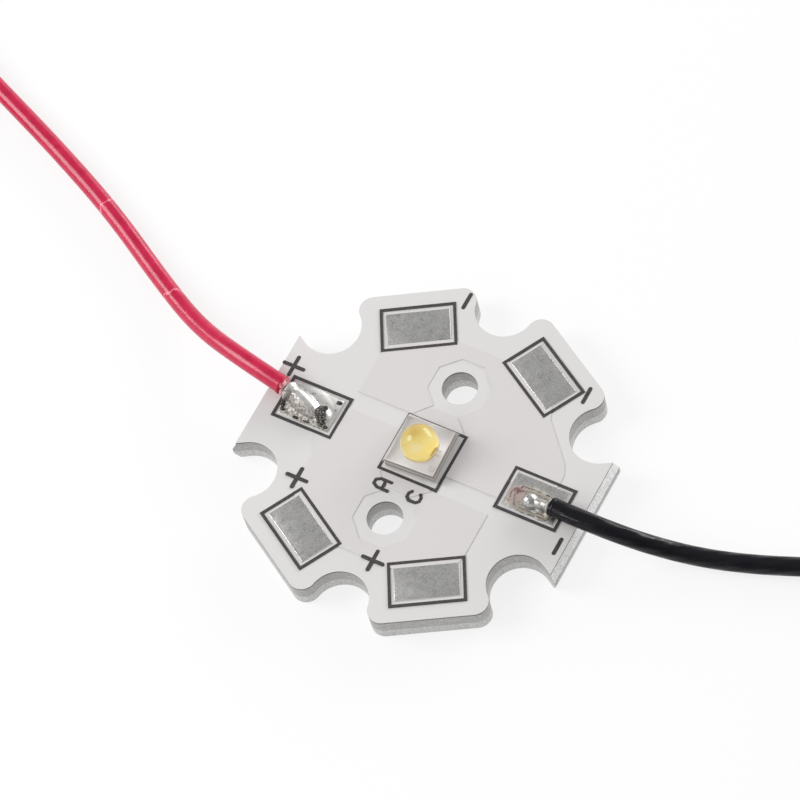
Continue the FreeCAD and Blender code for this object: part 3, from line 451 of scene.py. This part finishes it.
# Dielectric: a thin filled resin between the plate and the copper, seen only as
# a dull line below the white coat all round the edge.
filled_resin = finish("filled_resin", (0.16, 0.155, 0.145), 0.7)
mottle_colour(filled_resin, 0.00008, (0.10, 0.097, 0.09), (0.24, 0.235, 0.22), height=0.000006)
dress("dielectric_layer", filled_resin)

# Copper: two large etched areas and a small island, all under the white coat.
etched_copper = finish("etched_copper", (0.72, 0.38, 0.25), 0.4, 1.0)
mottle_colour(etched_copper, 0.0003, (0.62, 0.31, 0.19), (0.78, 0.44, 0.30), height=0.000004)
for area in ("copper_anode", "copper_cathode", "copper_thermal"):
    dress(area, etched_copper)

# White coat: solder mask printed over everything but the pads. It is a little
# pinker where copper lies below it, and it steps up by a hair at the copper's edge,
# where the step's upright sides are painted darker as painted shade.
white_mask = finish("white_mask", (0.72, 0.70, 0.69), 0.42, Specular_IOR_Level=0.4)
mask_cloud, mask_normal = grain(white_mask, 0.0005, height=0.0000025)
tree = white_mask.node_tree
over_copper = ramp(tree, height_at(tree), 0.001640, 0.001652)
coat_colour = shade(white_mask, over_copper, (0.725, 0.712, 0.703), (0.694, 0.666, 0.658))
# Painted shade: the upright sides of the step are coloured darker than the coat.
painted_shade_step = ramp(tree, upwardness(tree), 0.8, 0.3)
feed(white_mask, "Base Color", shade(white_mask, painted_shade_step, coat_colour, (0.62, 0.60, 0.59)))
feed(white_mask, "Roughness", ramp(tree, mask_cloud, 0, 1, 0.38, 0.46))
feed(white_mask, "Normal", mask_normal)
dress("solder_mask", white_mask)


# Tinned pads: hot-air levelled tin, mottled and scuffed, with a soft edge. Each pad
# fills its opening in the coat. Its numbers are how far its middle lies from the
# star's middle, its size along the lobe and its size across.
TIN_BOTTOM, TIN_TOP = 0.001635, 0.001672
ROUNDED_LOBE_PAD = (0.00781, 0.00193, 0.00355)
SNAPPED_LOBE_PAD = (0.00693, 0.00315, 0.00212)
levelled_tin = finish("levelled_tin", (0.5, 0.495, 0.48), 0.3, 1.0)
cloud, _ = grain(levelled_tin, 0.0010, 0.35, 0.65)
mottle, _ = grain(levelled_tin, 0.00042, 0.25, 0.75, stretch=(1.3, 0.8, 1))
speck, speck_normal = grain(levelled_tin, 0.00011, 0.3, 0.75, height=0.0000045)
scuff, _ = grain(levelled_tin, 0.00055, 0.66, 0.72, stretch=(0.8, 1.8, 1))
tin_colour = shade(levelled_tin, mottle, (0.30, 0.295, 0.28), (0.55, 0.545, 0.53))
tin_colour = shade(levelled_tin, cloud, tin_colour, (0.50, 0.495, 0.48))
tin_colour = shade(levelled_tin, speck, tin_colour, (0.70, 0.695, 0.68))
feed(levelled_tin, "Base Color", shade(levelled_tin, scuff, tin_colour, (0.88, 0.875, 0.86)))
feed(levelled_tin, "Roughness", ramp(levelled_tin.node_tree, mottle, 0, 1, 0.24, 0.40))
feed(levelled_tin, "Normal", speck_normal)

for lobe in (60, 120, 240, 300, 0, 180):
    place, radial, across = ROUNDED_LOBE_PAD if lobe % 180 else SNAPPED_LOBE_PAD
    plate = bmesh.new()
    bmesh.ops.create_cube(plate, size=1)
    bmesh.ops.scale(plate, vec=(radial, across, TIN_TOP - TIN_BOTTOM), verts=plate.verts)
    upper = [edge for edge in plate.edges if any(vert.co.z > 0 for vert in edge.verts)]
    bmesh.ops.bevel(plate, geom=upper, offset=0.00003, segments=3, profile=0.5, affect="EDGES",
                    material=-1)
    middle = Matrix.Translation((place, 0, (TIN_TOP + TIN_BOTTOM) / 2))
    spot = Matrix.Rotation(math.radians(lobe), 4, "Z") @ middle
    bmesh.ops.transform(plate, matrix=spot, verts=plate.verts)
    pad = place_mesh(f"tinned_pad_{lobe}", plate, levelled_tin)
    smooth_faces(pad, 50)
    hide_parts(f"pad_tin_{lobe}")


# Legend: frames round the pads and the LED, and the signs of the two sides,
# screen printed on the coat in black ink with rounded strokes. Two sides of the LED's
# frame came out faint, with only their outer edge in full black.
SIGN_LINE = 0.00023
legend_ink = finish("legend_ink", (0.055, 0.052, 0.050), 0.55)
ink_mask, ink_normal = grain(legend_ink, 0.00012, height=0.000006)
ink_colour = shade(legend_ink, ink_mask, (0.030, 0.028, 0.027), (0.066, 0.062, 0.060))
tree = legend_ink.node_tree
from_middle = [reckon(tree, "ABSOLUTE", reach(tree, (0, 0, 0), heading))
               for heading in ((1, 0, 0), (0, 1, 0))]
inner_part = ramp(tree, reckon(tree, "MAXIMUM", *from_middle), 0.00181, 0.00179)
far_corner = ramp(tree, reach(tree, (0, 0, 0), (-1, 1, 0)), 0.00025, 0.00040)
faint = reckon(tree, "MULTIPLY", inner_part, far_corner)
feed(legend_ink, "Base Color", shade(legend_ink, faint, ink_colour, (0.66, 0.64, 0.63)))
feed(legend_ink, "Normal", ink_normal)
dress("legend_frames", legend_ink)

# A sign is a list of strokes, in millimetres from its own middle.
minus = [((0, -0.445), (0, 0.445))]
plus = [((-0.6, 0), (0.6, 0)), ((0, -0.58), (0, 0.58))]
letter_a = [((-0.27, -0.46), (-0.27, 0.18)), ((-0.27, 0.18), (-0.12, 0.44)), ((-0.12, 0.44), (0.12, 0.44)),
            ((0.12, 0.44), (0.27, 0.18)), ((0.27, 0.18), (0.27, -0.46)), ((-0.27, -0.12), (0.27, -0.12))]
letter_c = [((0.27, 0.26), (0.12, 0.38)), ((0.12, 0.38), (-0.12, 0.38)), ((-0.12, 0.38), (-0.27, 0.22)),
            ((-0.27, 0.22), (-0.27, -0.22)), ((-0.27, -0.22), (-0.12, -0.38)),
            ((-0.12, -0.38), (0.12, -0.38)), ((0.12, -0.38), (0.27, -0.26))]
ON_RESIN, ON_COPPER = 1.645, 1.672  # heights of the print, in millimetres
STROKE_STEP = 0.000002  # each stroke lies this much below the last, as some of them cross
STROKE_DEPTH = 0.00004
signs = bmesh.new()
for strokes, x, y, turn, high in (
        (minus, -2.20, 9.30, 0, ON_RESIN), (minus, 6.58, 6.72, 0, ON_RESIN),
        (minus, 9.34, -2.02, 0, ON_RESIN), (plus, -9.11, 1.84, 0, ON_RESIN),
        (plus, -5.59, -4.15, 0, ON_COPPER), (plus, 0.62, -6.84, 0, ON_COPPER),
        (letter_a, -1.12, -2.59, 90, ON_COPPER), (letter_c, 0.87, -2.59, 90, ON_COPPER)):
    width = SIGN_LINE * (0.85 if len(strokes) > 2 else 1)  # the letters are finer
    for index, (first, last) in enumerate(strokes):
        along = (Vector(last) - Vector(first)) / 1000
        middle = (Vector(last) + Vector(first)) / 2000
        stroke = bmesh.ops.create_circle(signs, cap_ends=True, segments=12, radius=width / 2)["verts"]
        bmesh.ops.rotate(signs, verts=stroke, matrix=Matrix.Rotation(math.radians(15), 3, "Z"))
        for side in (-1, 1):
            half = [vert for vert in stroke if vert.co.x * side > 0]
            bmesh.ops.translate(signs, verts=half, vec=(side * along.length / 2, 0, 0))
        spot = (Matrix.Translation((x / 1000, y / 1000, high / 1000 - STROKE_STEP * index))
                @ Matrix.Rotation(math.radians(turn), 4, "Z") @ Matrix.Translation(middle.to_3d())
                @ Matrix.Rotation(math.atan2(along.y, along.x), 4, "Z"))
        bmesh.ops.transform(signs, matrix=spot, verts=stroke)
        face = list({face for vert in stroke for face in vert.link_faces})
        lower = bmesh.ops.extrude_face_region(signs, geom=face, use_keep_orig=True)
        bmesh.ops.translate(signs, vec=(0, 0, -STROKE_DEPTH), verts=vertices_among(lower["geom"]))
bmesh.ops.recalc_face_normals(signs, faces=signs.faces)
printed_signs = place_mesh("printed_signs", signs, legend_ink)


# LED package: three gold-plated contacts below a white ceramic, each soldered to its
# copper. The package sits turned by a couple of degrees, as it floated on its solder.
LED_TURN = Matrix.Rotation(math.radians(2.4), 4, "Z")
reflowed_solder = finish("reflowed_solder", (0.66, 0.65, 0.63), 0.25, 1.0)
mottle_gloss(reflowed_solder, 0.0001, 0.18, 0.35, height=0.000004)
gold_plate = finish("gold_plate", (0.62, 0.54, 0.44), 0.5, 0.6)
mottle_gloss(gold_plate, 0.00008, 0.45, 0.6, height=0.000002)
for contact in ("anode", "thermal", "cathode"):
    dress(f"led_solder_{contact}", reflowed_solder)
    dress(f"led_pad_{contact}", gold_plate)
fired_ceramic = finish("fired_ceramic", (0.94, 0.91, 0.90), 0.5)
ceramic_mask, ceramic_normal = grain(fired_ceramic, 0.00009, height=0.000003)
tree = fired_ceramic.node_tree
ceramic_height = height_at(tree)
on_top = ramp(tree, upwardness(tree), 0.3, 0.7)
sawn, _ = grain(fired_ceramic, 0.0003, 0.3, 0.7, stretch=(0.5, 0.5, 4))
middle_tape = ramp(tree, ceramic_height, 0.00206, 0.00203)
lower_tape = ramp(tree, ceramic_height, 0.00193, 0.00190)
# Painted shade: the sides are coloured far darker than the white top: grey near the top, darkest and
# streaked in the middle, lighter at the foot.
shaded_side_colour = shade(fired_ceramic, middle_tape, (0.42, 0.40, 0.38), shade(
    fired_ceramic, sawn, (0.17, 0.155, 0.14), (0.29, 0.275, 0.26)))
shaded_side_colour = shade(fired_ceramic, lower_tape, shaded_side_colour, (0.60, 0.585, 0.57))
top_colour = shade(fired_ceramic, ceramic_mask, (0.97, 0.935, 0.93), (1.0, 0.975, 0.965))
feed(fired_ceramic, "Base Color", shade(fired_ceramic, on_top, shaded_side_colour, top_colour))
feed(fired_ceramic, "Normal", ceramic_normal)
dress("led_ceramic", fired_ceramic)

# Inside the LED: the chip on its pad, the yellow converter plate on the chip with its
# corner left free for two bond wires, and a small protection diode. The converter's
# faint emission only brings the dome up to the brightness that it has in the photo.
plated_die = finish("plated_die", (0.90, 0.86, 0.84), 0.5)
mottle_gloss(plated_die, 0.00008, 0.35, 0.5)
for inside in ("led_die_pad", "led_bond_pad", "led_protection_diode"):
    dress(inside, plated_die)
dress("led_bond_wires", gold_plate)
# Painted light: the chip is coloured the converter's yellow, so the shade in the converter's free corner
# reads light.
crystal = finish("crystal", (1.0, 0.82, 0.34), 0.3)
mottle_gloss(crystal, 0.0001, 0.15, 0.3)
dress("led_chip", crystal)
phosphor = finish("phosphor", (1.0, 0.80, 0.28), 0.6,
                  Emission_Color=(1.0, 0.70, 0.10, 1), Emission_Strength=0.10)
phosphor_mask, phosphor_normal = grain(phosphor, 0.00025, 0.3, 0.7, height=0.000003)
tree = phosphor.node_tree
phosphor_colour = shade(phosphor, phosphor_mask, (1.0, 0.76, 0.19), (1.0, 0.83, 0.31))
# Painted highlight: a soft pale spot just left of the converter's middle.
painted_highlight_spot = ramp(tree, distance(tree, (-0.00018, -0.00002, 0.0023)), 0.00030, 0.00005, 0, 0.6)
phosphor_colour = shade(phosphor, painted_highlight_spot, phosphor_colour, (1.0, 0.90, 0.66))
ochre_corner = ramp(tree, distance(tree, (-0.00044, 0.00042, 0.0023)), 0.00024, 0.00010)
feed(phosphor, "Base Color", shade(phosphor, ochre_corner, phosphor_colour, (0.92, 0.64, 0.17)))
feed(phosphor, "Normal", phosphor_normal)
dress("led_converter", phosphor)

# Lens: clear silicone moulded over all of it in one piece, a drafted square
# flange as wide as the ceramic and a dome that is a little taller than it is wide.
FLANGE_SIDE, FLANGE_TOP_SIDE = 0.0030, 0.00287
CERAMIC_TOP, FLANGE_TOP = 0.002155, 0.002465
DOME_RADIUS, DOME_SKIRT, DOME_RISE = 0.00105, 0.00025, 0.0012
DOME_ROOT = 0.00012  # how deep the skirt goes into the flange before the two are joined
LENS_SEAT = 0.00001  # how far the flange sinks into the ceramic
clear_silicone = finish("clear_silicone", (1.0, 0.995, 0.99), 0.02,
                        Transmission_Weight=1.0, IOR=1.41)
_, silicone_normal = grain(clear_silicone, 0.0006, height=0.000002)
feed(clear_silicone, "Normal", silicone_normal)
sawn_silicone = finish("sawn_silicone", (0.80, 0.77, 0.75), 0.5,
                       Transmission_Weight=0.1, IOR=1.41)
sawn_mask, sawn_normal = grain(sawn_silicone, 0.00025, 0.3, 0.7, height=0.000006, stretch=(0.5, 0.5, 4))
tree = sawn_silicone.node_tree
flange_height = height_at(tree)
below_painted_highlight = ramp(tree, flange_height, 0.002425, 0.002405)
lower_half = ramp(tree, flange_height, 0.00230, 0.00226)
# Painted shade: the flange's outer sides are coloured dark grey with saw streaks, lighter in their lower
# half; from inside they keep the silicone's near-white.
shaded_sawn_colour = shade(sawn_silicone, sawn_mask, (0.16, 0.145, 0.135), (0.30, 0.285, 0.27))
shaded_sawn_colour = shade(sawn_silicone, lower_half, shaded_sawn_colour, (0.38, 0.36, 0.34))
# Painted shadow: a thin dark line just under the rim.
painted_shadow_line = reckon(tree, "COMPARE", flange_height, 0.00239, 0.000016)
shaded_sawn_colour = shade(sawn_silicone, painted_shadow_line, shaded_sawn_colour, (0.14, 0.09, 0.07))
# Painted highlight: a pale strip along the top of the sides, right under the rim.
shaded_sawn_colour = shade(sawn_silicone, below_painted_highlight, (0.95, 0.90, 0.88), shaded_sawn_colour)
from_within = put(tree, "NewGeometry").outputs["Backfacing"]
feed(sawn_silicone, "Base Color", shade(sawn_silicone, from_within, shaded_sawn_colour, (1.0, 0.98, 0.97)))
feed(sawn_silicone, "Normal", sawn_normal)

flange = bmesh.new()
bmesh.ops.create_cube(flange, size=1)
bmesh.ops.scale(flange, vec=(FLANGE_SIDE, FLANGE_SIDE, FLANGE_TOP - CERAMIC_TOP + LENS_SEAT),
                verts=flange.verts)
bmesh.ops.translate(flange, vec=(0, 0, (FLANGE_TOP + CERAMIC_TOP - LENS_SEAT) / 2), verts=flange.verts)
shrink = FLANGE_TOP_SIDE / FLANGE_SIDE
bmesh.ops.scale(flange, vec=(shrink, shrink, 1),
                verts=[vert for vert in flange.verts if vert.co.z > CERAMIC_TOP])
rounded = [edge for edge in flange.edges if max(vert.co.z for vert in edge.verts) > CERAMIC_TOP]
bmesh.ops.bevel(flange, geom=rounded, offset=0.00003, segments=3, profile=0.5, affect="EDGES",
                material=-1)
bmesh.ops.transform(flange, matrix=LED_TURN, verts=flange.verts)
lens = place_mesh("lens", flange, clear_silicone, sawn_silicone)

dome_shape = bmesh.new()
bmesh.ops.create_uvsphere(dome_shape, u_segments=72, v_segments=36, radius=DOME_RADIUS)
below = [vert for vert in dome_shape.verts if vert.co.z < -1e-7]
bmesh.ops.scale(dome_shape, vec=(1, 1, DOME_RISE / DOME_RADIUS), verts=dome_shape.verts)
bmesh.ops.delete(dome_shape, geom=below, context="VERTS")
rim = [edge for edge in dome_shape.edges if edge.is_boundary]
skirt = bmesh.ops.extrude_edge_only(dome_shape, edges=rim)
bmesh.ops.translate(dome_shape, vec=(0, 0, -DOME_SKIRT - DOME_ROOT), verts=vertices_among(skirt["geom"]))
bmesh.ops.holes_fill(dome_shape, edges=[edge for edge in dome_shape.edges if edge.is_boundary])
bmesh.ops.recalc_face_normals(dome_shape, faces=dome_shape.faces)
bmesh.ops.translate(dome_shape, vec=(0, 0, FLANGE_TOP + DOME_SKIRT), verts=dome_shape.verts)
dome = place_mesh("dome", dome_shape)
union = lens.modifiers.new("union", "BOOLEAN")
union.operation = "UNION"
union.object = dome
moulded = bpy.data.meshes.new_from_object(lens.evaluated_get(bpy.context.evaluated_depsgraph_get()))
lens.modifiers.clear()
lens.data = moulded
bpy.data.objects.remove(dome)
# The flange's four sides are sawn and dull, and all the rest is clear.
for face in lens.data.polygons:
    out = LED_TURN.inverted() @ face.center
    on_side = max(abs(out.x), abs(out.y)) > FLANGE_TOP_SIDE / 2 - 0.00002
    face.material_index = int(on_side and face.center.z > CERAMIC_TOP)
smooth_faces(lens, 32)
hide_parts("led_lens")


# Soldered joints: each lead's stripped core is laid on its tinned pad under a hand-made
# mound of solder that has flowed over the pad and up to the insulation.
dress("red_lead_core", tinned_strand)
dress("black_lead_core", tinned_strand)


def tinted(lustre, red, green, blue):
    """A colour of a metal, made duller by its lustre."""
    return lustre * red, lustre * green, lustre * blue


def hand_solder(name, place, heading, worn, satin_and_dim, lustre):
    """Solder that burnt flux has pitted on one side of a line and dulled far on the other, where a painted
    reflection darkens it and lightens it again further out.
    """
    made = finish(name, (0.80, 0.79, 0.77), 0.3, 1.0)
    tree = made.node_tree
    cloud, _ = grain(made, 0.0005, 0.3, 0.7)
    patches, _ = grain(made, 0.0003, 0.35, 0.65)
    pits, pitted_normal = grain(made, 0.00014, 0.44, 0.62, height=-0.000012)
    specks, _ = grain(made, 0.00015, 0.62, 0.67)
    across = reach(tree, place, heading)
    edge = reckon(tree, "MULTIPLY_ADD", patches, 0.0003, across)
    pitted = ramp(tree, edge, 0.00012, 0.00038, 0, worn)
    dulled_and_dimmed = ramp(tree, across, -0.00038, -0.00066, 0, satin_and_dim)
    bright = shade(made, cloud, tinted(lustre, 0.98, 0.975, 0.96), tinted(lustre, 0.74, 0.73, 0.71))
    rough_colour = shade(made, pits, tinted(lustre, 0.60, 0.58, 0.55), (0.22, 0.19, 0.17))
    # Painted reflection: on the dulled side the colour is darker near the line and lighter further out.
    painted_reflection_colour = shade(made, ramp(tree, across, -0.0008, -0.0013),
                         tinted(lustre, 0.60, 0.595, 0.58), tinted(lustre, 0.92, 0.91, 0.89))
    bright = shade(made, dulled_and_dimmed, bright, painted_reflection_colour)
    colour = shade(made, pitted, bright, rough_colour)
    feed(made, "Base Color", shade(made, specks, colour, (0.10, 0.09, 0.08)))
    worst = reckon(tree, "MAXIMUM", pitted, dulled_and_dimmed)
    feed(made, "Roughness", reckon(tree, "MULTIPLY_ADD", worst, 0.30, ramp(tree, cloud, 0, 1, 0.26, 0.38)))
    flat = put(tree, "NewGeometry").outputs["Normal"]
    feed(made, "Normal", put(tree, "Mix", {0: pitted, 4: flat, 5: pitted_normal},
                             data_type="VECTOR").outputs[1])
    return made


red_solder = hand_solder("red_solder", (-0.00721, -0.00010, 0.0020), (-0.30, -0.95, 0),
                         worn=1.0, satin_and_dim=1.0, lustre=0.90)
black_solder = hand_solder("black_solder", (0.00730, -0.00030, 0.0022), (0.9, 0.3, 0),
                           worn=0.7, satin_and_dim=0.0, lustre=0.66)


def melt(name, lumps, made, floor, plinth=None, voxel=0.000035, flow=10):
    """Lumps in millimetres, run together into one smooth skin and cut flat at the floor.

    Each lump has its place, its radii, its turn and its tilt. The plinth is the low
    layer that fills a pad, with its place and its size.
    """
    joined = bmesh.new()
    for place, radii, turn, tilt in lumps:
        lump = bmesh.ops.create_icosphere(joined, subdivisions=4, radius=0.001)
        spot = (Matrix.Translation(Vector(place) / 1000) @ Matrix.Rotation(math.radians(turn), 4, "Z")
                @ Matrix.Rotation(math.radians(tilt), 4, "Y") @ Matrix.Diagonal((*radii, 1)))
        bmesh.ops.transform(joined, matrix=spot, verts=lump["verts"])
    if plinth:
        layer = bmesh.ops.create_cube(joined, size=0.001)
        bmesh.ops.scale(joined, vec=plinth[1], verts=layer["verts"])
        bmesh.ops.translate(joined, vec=Vector(plinth[0]) / 1000, verts=layer["verts"])
    piece = place_mesh(name, joined, made)
    skin = piece.modifiers.new("skin", "REMESH")
    skin.mode = "VOXEL"
    skin.voxel_size = voxel
    smooth = piece.modifiers.new("flow", "SMOOTH")
    smooth.iterations = flow
    whole = bpy.data.meshes.new_from_object(piece.evaluated_get(bpy.context.evaluated_depsgraph_get()))
    piece.modifiers.clear()
    cut = bmesh.new()
    cut.from_mesh(whole)
    bmesh.ops.bisect_plane(cut, geom=cut.verts[:] + cut.edges[:] + cut.faces[:],
                           plane_co=(0, 0, floor), plane_no=(0, 0, -1), clear_outer=True)
    bmesh.ops.holes_fill(cut, edges=[edge for edge in cut.edges if edge.is_boundary])
    cut.to_mesh(piece.data)
    cut.free()
    bpy.data.meshes.remove(whole)
    smooth_faces(piece, 60)
    return piece


red_mound = melt("red_mound", [
    ((-7.42, -0.06, 1.80), (1.38, 0.58, 0.64), -19, 5),
    ((-8.36, 0.20, 2.06), (0.36, 0.58, 0.58), -12, 0),
    ((-7.08, 0.02, 1.56), (1.78, 1.16, 0.38), 0, 0),
    ((-6.20, -0.28, 1.66), (0.62, 0.60, 0.42), 0, 0),
], red_solder, floor=0.001655, plinth=((-6.94, 0, 1.62), (3.08, 2.06, 0.26)), voxel=0.00004, flow=20)
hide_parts("red_solder_joint")
black_mound = melt("black_mound", [
    ((6.90, -0.38, 2.00), (0.46, 0.45, 0.52), 0, 0),
    ((7.50, -0.36, 2.06), (0.60, 0.30, 0.38), 0, -6),
    ((8.02, -0.31, 2.20), (0.22, 0.42, 0.44), 0, 0),
    ((7.35, -0.42, 1.66), (0.78, 0.44, 0.14), 0, 0),
], black_solder, floor=0.001655, voxel=0.00003, flow=8)
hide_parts("black_solder_joint")

# Insulation ends: the vinyl shrank back and swelled a little from the heat of the iron,
# and the red one has gone pale at its rim.
melted_red = finish("melted_red", (0.62, 0.02, 0.09), 0.25, Specular_IOR_Level=0.4)
melt_mask, melt_normal = grain(melted_red, 0.00025, height=0.000015)
tree = melted_red.node_tree
melt_edge = reckon(tree, "MULTIPLY_ADD", melt_mask, 0.00016,
                   reach(tree, (-0.0088, 0.00027, 0.00226), (1, -0.2, 0)))
pale_rim = ramp(tree, melt_edge, 0.00019, 0.00027)
feed(melted_red, "Base Color", shade(melted_red, pale_rim, (0.46, 0.003, 0.040), (0.84, 0.44, 0.46)))
feed(melted_red, "Normal", melt_normal)
red_end = melt("red_end", [
    ((-8.86, 0.28, 2.26), (0.24, 0.55, 0.545), -12, 0),
    ((-8.70, -0.02, 2.20), (0.16, 0.24, 0.26), 0, 0),
    ((-8.68, 0.50, 2.34), (0.14, 0.22, 0.28), 0, 0),
    ((-8.72, 0.20, 2.62), (0.18, 0.26, 0.18), 0, 0),
], melted_red, floor=0.00166, voxel=0.00003, flow=5)
black_end = melt("black_end", [
    ((8.34, -0.30, 2.27), (0.22, 0.55, 0.545), 4, 0),
    ((8.22, -0.10, 2.46), (0.12, 0.20, 0.22), 0, 0),
    ((8.20, -0.55, 2.20), (0.12, 0.20, 0.26), 0, 0),
], black_vinyl, floor=0.00166, voxel=0.00003, flow=5)

# Flux: an amber film that boiled over the black lead's pad and dried in wavy lines, a
# collar of it round the insulation, and burnt dark crusts beside the red lead's joint.
dried_flux = finish("dried_flux", (0.60, 0.56, 0.49), 0.08, Transmission_Weight=0.35, IOR=1.5)
tree = dried_flux.node_tree
film_waves, film_normal = grain(dried_flux, 0.0009, 0.2, 0.8, height=0.000020)
sideways = reckon(tree, "ABSOLUTE", reach(tree, (0.0069, -0.0002, 0), (0, 1, 0)))
endways = reckon(tree, "MULTIPLY", reach(tree, (0.0071, -0.0002, 0), (1, 0, 0)), -0.55)
waved = reckon(tree, "MULTIPLY_ADD", film_waves, 0.0003, reckon(tree, "MAXIMUM", sideways, endways))
rings = reckon(tree, "PINGPONG", waved, 0.000095)
broken, _ = grain(dried_flux, 0.0004, 0.42, 0.50)
outer_part = reckon(tree, "MULTIPLY", broken, ramp(tree, waved, 0.0005, 0.0006))
lines = reckon(tree, "MULTIPLY", ramp(tree, rings, 0.000026, 0.000012), outer_part)
pinkish = ramp(tree, distance(tree, (0.00585, -0.0001, 0.0017)), 0.0009, 0.0003)
film_colour = shade(dried_flux, broken, (0.66, 0.63, 0.57), (0.50, 0.46, 0.39))
film_colour = shade(dried_flux, pinkish, film_colour, (0.58, 0.46, 0.43))
feed(dried_flux, "Base Color", shade(dried_flux, lines, film_colour, (0.07, 0.045, 0.035)))
feed(dried_flux, "Normal", film_normal)
melt("flux_film", [
    ((6.78, -0.22, 1.66), (1.46, 0.86, 0.10), 0, 0),
    ((6.00, -0.36, 1.66), (0.64, 0.68, 0.11), 0, 0),
    ((7.72, -0.30, 1.66), (0.66, 0.80, 0.13), 0, 0),
    ((5.62, -0.62, 1.68), (0.16, 0.12, 0.12), 0, 0),
    ((5.90, -0.45, 1.69), (0.14, 0.11, 0.13), 0, 0),
], dried_flux, floor=0.001668, voxel=0.00003, flow=6)
amber_flux = finish("amber_flux", (0.80, 0.72, 0.48), 0.2, Transmission_Weight=0.4, IOR=1.5)
mottle_colour(amber_flux, 0.00012, (0.66, 0.57, 0.30), (0.95, 0.92, 0.82), high=0.6, height=0.00002)
melt("flux_collar", [
    ((8.12, -0.30, 2.12), (0.12, 0.50, 0.52), 4, 0),
    ((8.02, 0.06, 1.90), (0.18, 0.20, 0.24), 0, 0),
    ((8.02, -0.68, 1.86), (0.18, 0.20, 0.24), 0, 0),
], amber_flux, floor=0.00167, voxel=0.000025, flow=4)
blister_skin = finish("blister_skin", (0.28, 0.15, 0.14), 0.2)
mottle_colour(blister_skin, 0.0002, (0.17, 0.09, 0.085), (0.33, 0.22, 0.21), height=0.00001)
melt("flux_blister", [
    ((5.88, 0.08, 1.70), (0.34, 0.19, 0.11), 25, 0),
    ((6.12, 0.14, 1.70), (0.14, 0.10, 0.11), 0, 0),
], blister_skin, floor=0.00167, voxel=0.00002, flow=3)
burnt_flux = finish("burnt_flux", (0.035, 0.030, 0.024), 0.28, Specular_IOR_Level=0.35)
burnt_mask, burnt_normal = grain(burnt_flux, 0.00010, 0.35, 0.65, height=0.00004)
# Painted glints: small light specks over the dark crust.
painted_glints, _ = grain(burnt_flux, 0.00010, 0.56, 0.64)
burnt_colour = shade(burnt_flux, burnt_mask, (0.010, 0.009, 0.008), (0.070, 0.060, 0.048))
feed(burnt_flux, "Base Color", shade(burnt_flux, painted_glints, burnt_colour, (0.50, 0.48, 0.44)))
feed(burnt_flux, "Normal", burnt_normal)
melt("flux_crusts", [
    ((-6.12, -0.30, 1.98), (0.38, 0.50, 0.20), 20, 30),
    ((-6.00, -0.62, 1.80), (0.34, 0.24, 0.16), -20, 20),
    ((-6.05, 0.10, 2.02), (0.14, 0.14, 0.10), 0, 30),
    ((-5.62, 0.78, 1.75), (0.19, 0.13, 0.07), 10, 0),
    ((-5.70, -0.84, 1.75), (0.24, 0.12, 0.08), 0, 0),
    ((-8.52, -0.42, 1.76), (0.14, 0.30, 0.12), 20, 0),
    ((-8.36, -0.80, 1.75), (0.16, 0.10, 0.07), 0, 0),
    ((-7.42, -0.98, 1.76), (0.20, 0.09, 0.07), 0, 0),
    ((-6.75, -0.97, 1.76), (0.22, 0.06, 0.05), 0, 0),
], burnt_flux, floor=0.00167, voxel=0.00002, flow=3)


# The table: a plain white surface below everything, in a pale room. Its ceiling and the
# side that the camera stands on are darker than its other walls. One soft lamp stands
# on the left, a wide one low behind the board and a small one in front.
table_shape = bmesh.new()
bmesh.ops.create_grid(table_shape, x_segments=1, y_segments=1, size=1.5)
table = bpy.data.objects.new("table", bpy.data.meshes.new("table"))
table_shape.to_mesh(table.data)
table_shape.free()
bpy.context.scene.collection.objects.link(table)
table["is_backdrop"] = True
white_paper = finish("white_paper", (0.97, 0.97, 0.97), 0.9)
tree = white_paper.node_tree
# To the camera, and in reflections, most of it is an even white, so its shadows stay faint.
seen = put(tree, "LightPath")
direct = reckon(tree, "ADD", seen.outputs["Is Camera Ray"], seen.outputs["Is Transmission Ray"])
shown = reckon(tree, "ADD", direct, seen.outputs["Is Glossy Ray"])
share = put(tree, "Math", {0: shown, 1: 0.8}, operation="MULTIPLY", use_clamp=True)
lit = put(tree, "Emission", {"Color": (1, 1, 1, 1), "Strength": 1.0})
both = put(tree, "MixShader", {0: share.outputs[0], 1: tree.nodes["Principled BSDF"].outputs[0],
                               2: lit.outputs[0]})
tree.links.new(both.outputs[0], tree.nodes["Material Output"].inputs["Surface"])
table.data.materials.append(white_paper)

room = bpy.data.worlds.new("room")
bpy.context.scene.world = room
room.use_nodes = True
tree = room.node_tree
towards = put(tree, "TexCoord").outputs["Generated"]
upward = put(tree, "SeparateXYZ", {0: towards}).outputs[2]
front = put(tree, "VectorMath", {0: towards, 1: (0.7, -0.7, 0.15)},
            operation="DOT_PRODUCT").outputs["Value"]
walls = reckon(tree, "MULTIPLY", ramp(tree, upward, 0.05, 0.5, 1.07, 0.505),
               ramp(tree, front, 0.1, 0.9, 1.0, 0.5))
sky = tree.nodes["Background"]
sky.inputs["Color"].default_value = (1, 1, 1, 1)
tree.links.new(walls, sky.inputs["Strength"])


def soft_box(name, place, aim, size, power):
    """A soft lamp of a width and a height that faces a point."""
    lamp = bpy.data.lights.new(name, "AREA")
    lamp.shape = "RECTANGLE"
    lamp.size, lamp.size_y = size
    lamp.energy = power
    box = bpy.data.objects.new(name, lamp)
    box.location = place
    box.rotation_euler = (Vector(aim) - Vector(place)).to_track_quat("-Z", "Y").to_euler()
    bpy.context.scene.collection.objects.link(box)


soft_box("side_lamp", (-0.235, -0.085, 0.17), (0, 0, 0), (0.16, 0.16), 0.60)
soft_box("back_lamp", (0.18, 0.56, 0.11), (0, 0, 0), (0.54, 0.33), 3.3)
soft_box("front_lamp", (-0.075, -0.29, 0.20), (0, 0, 0), (0.055, 0.08), 0.12)

bpy.context.scene.view_settings.view_transform = "Standard"
low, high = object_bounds()
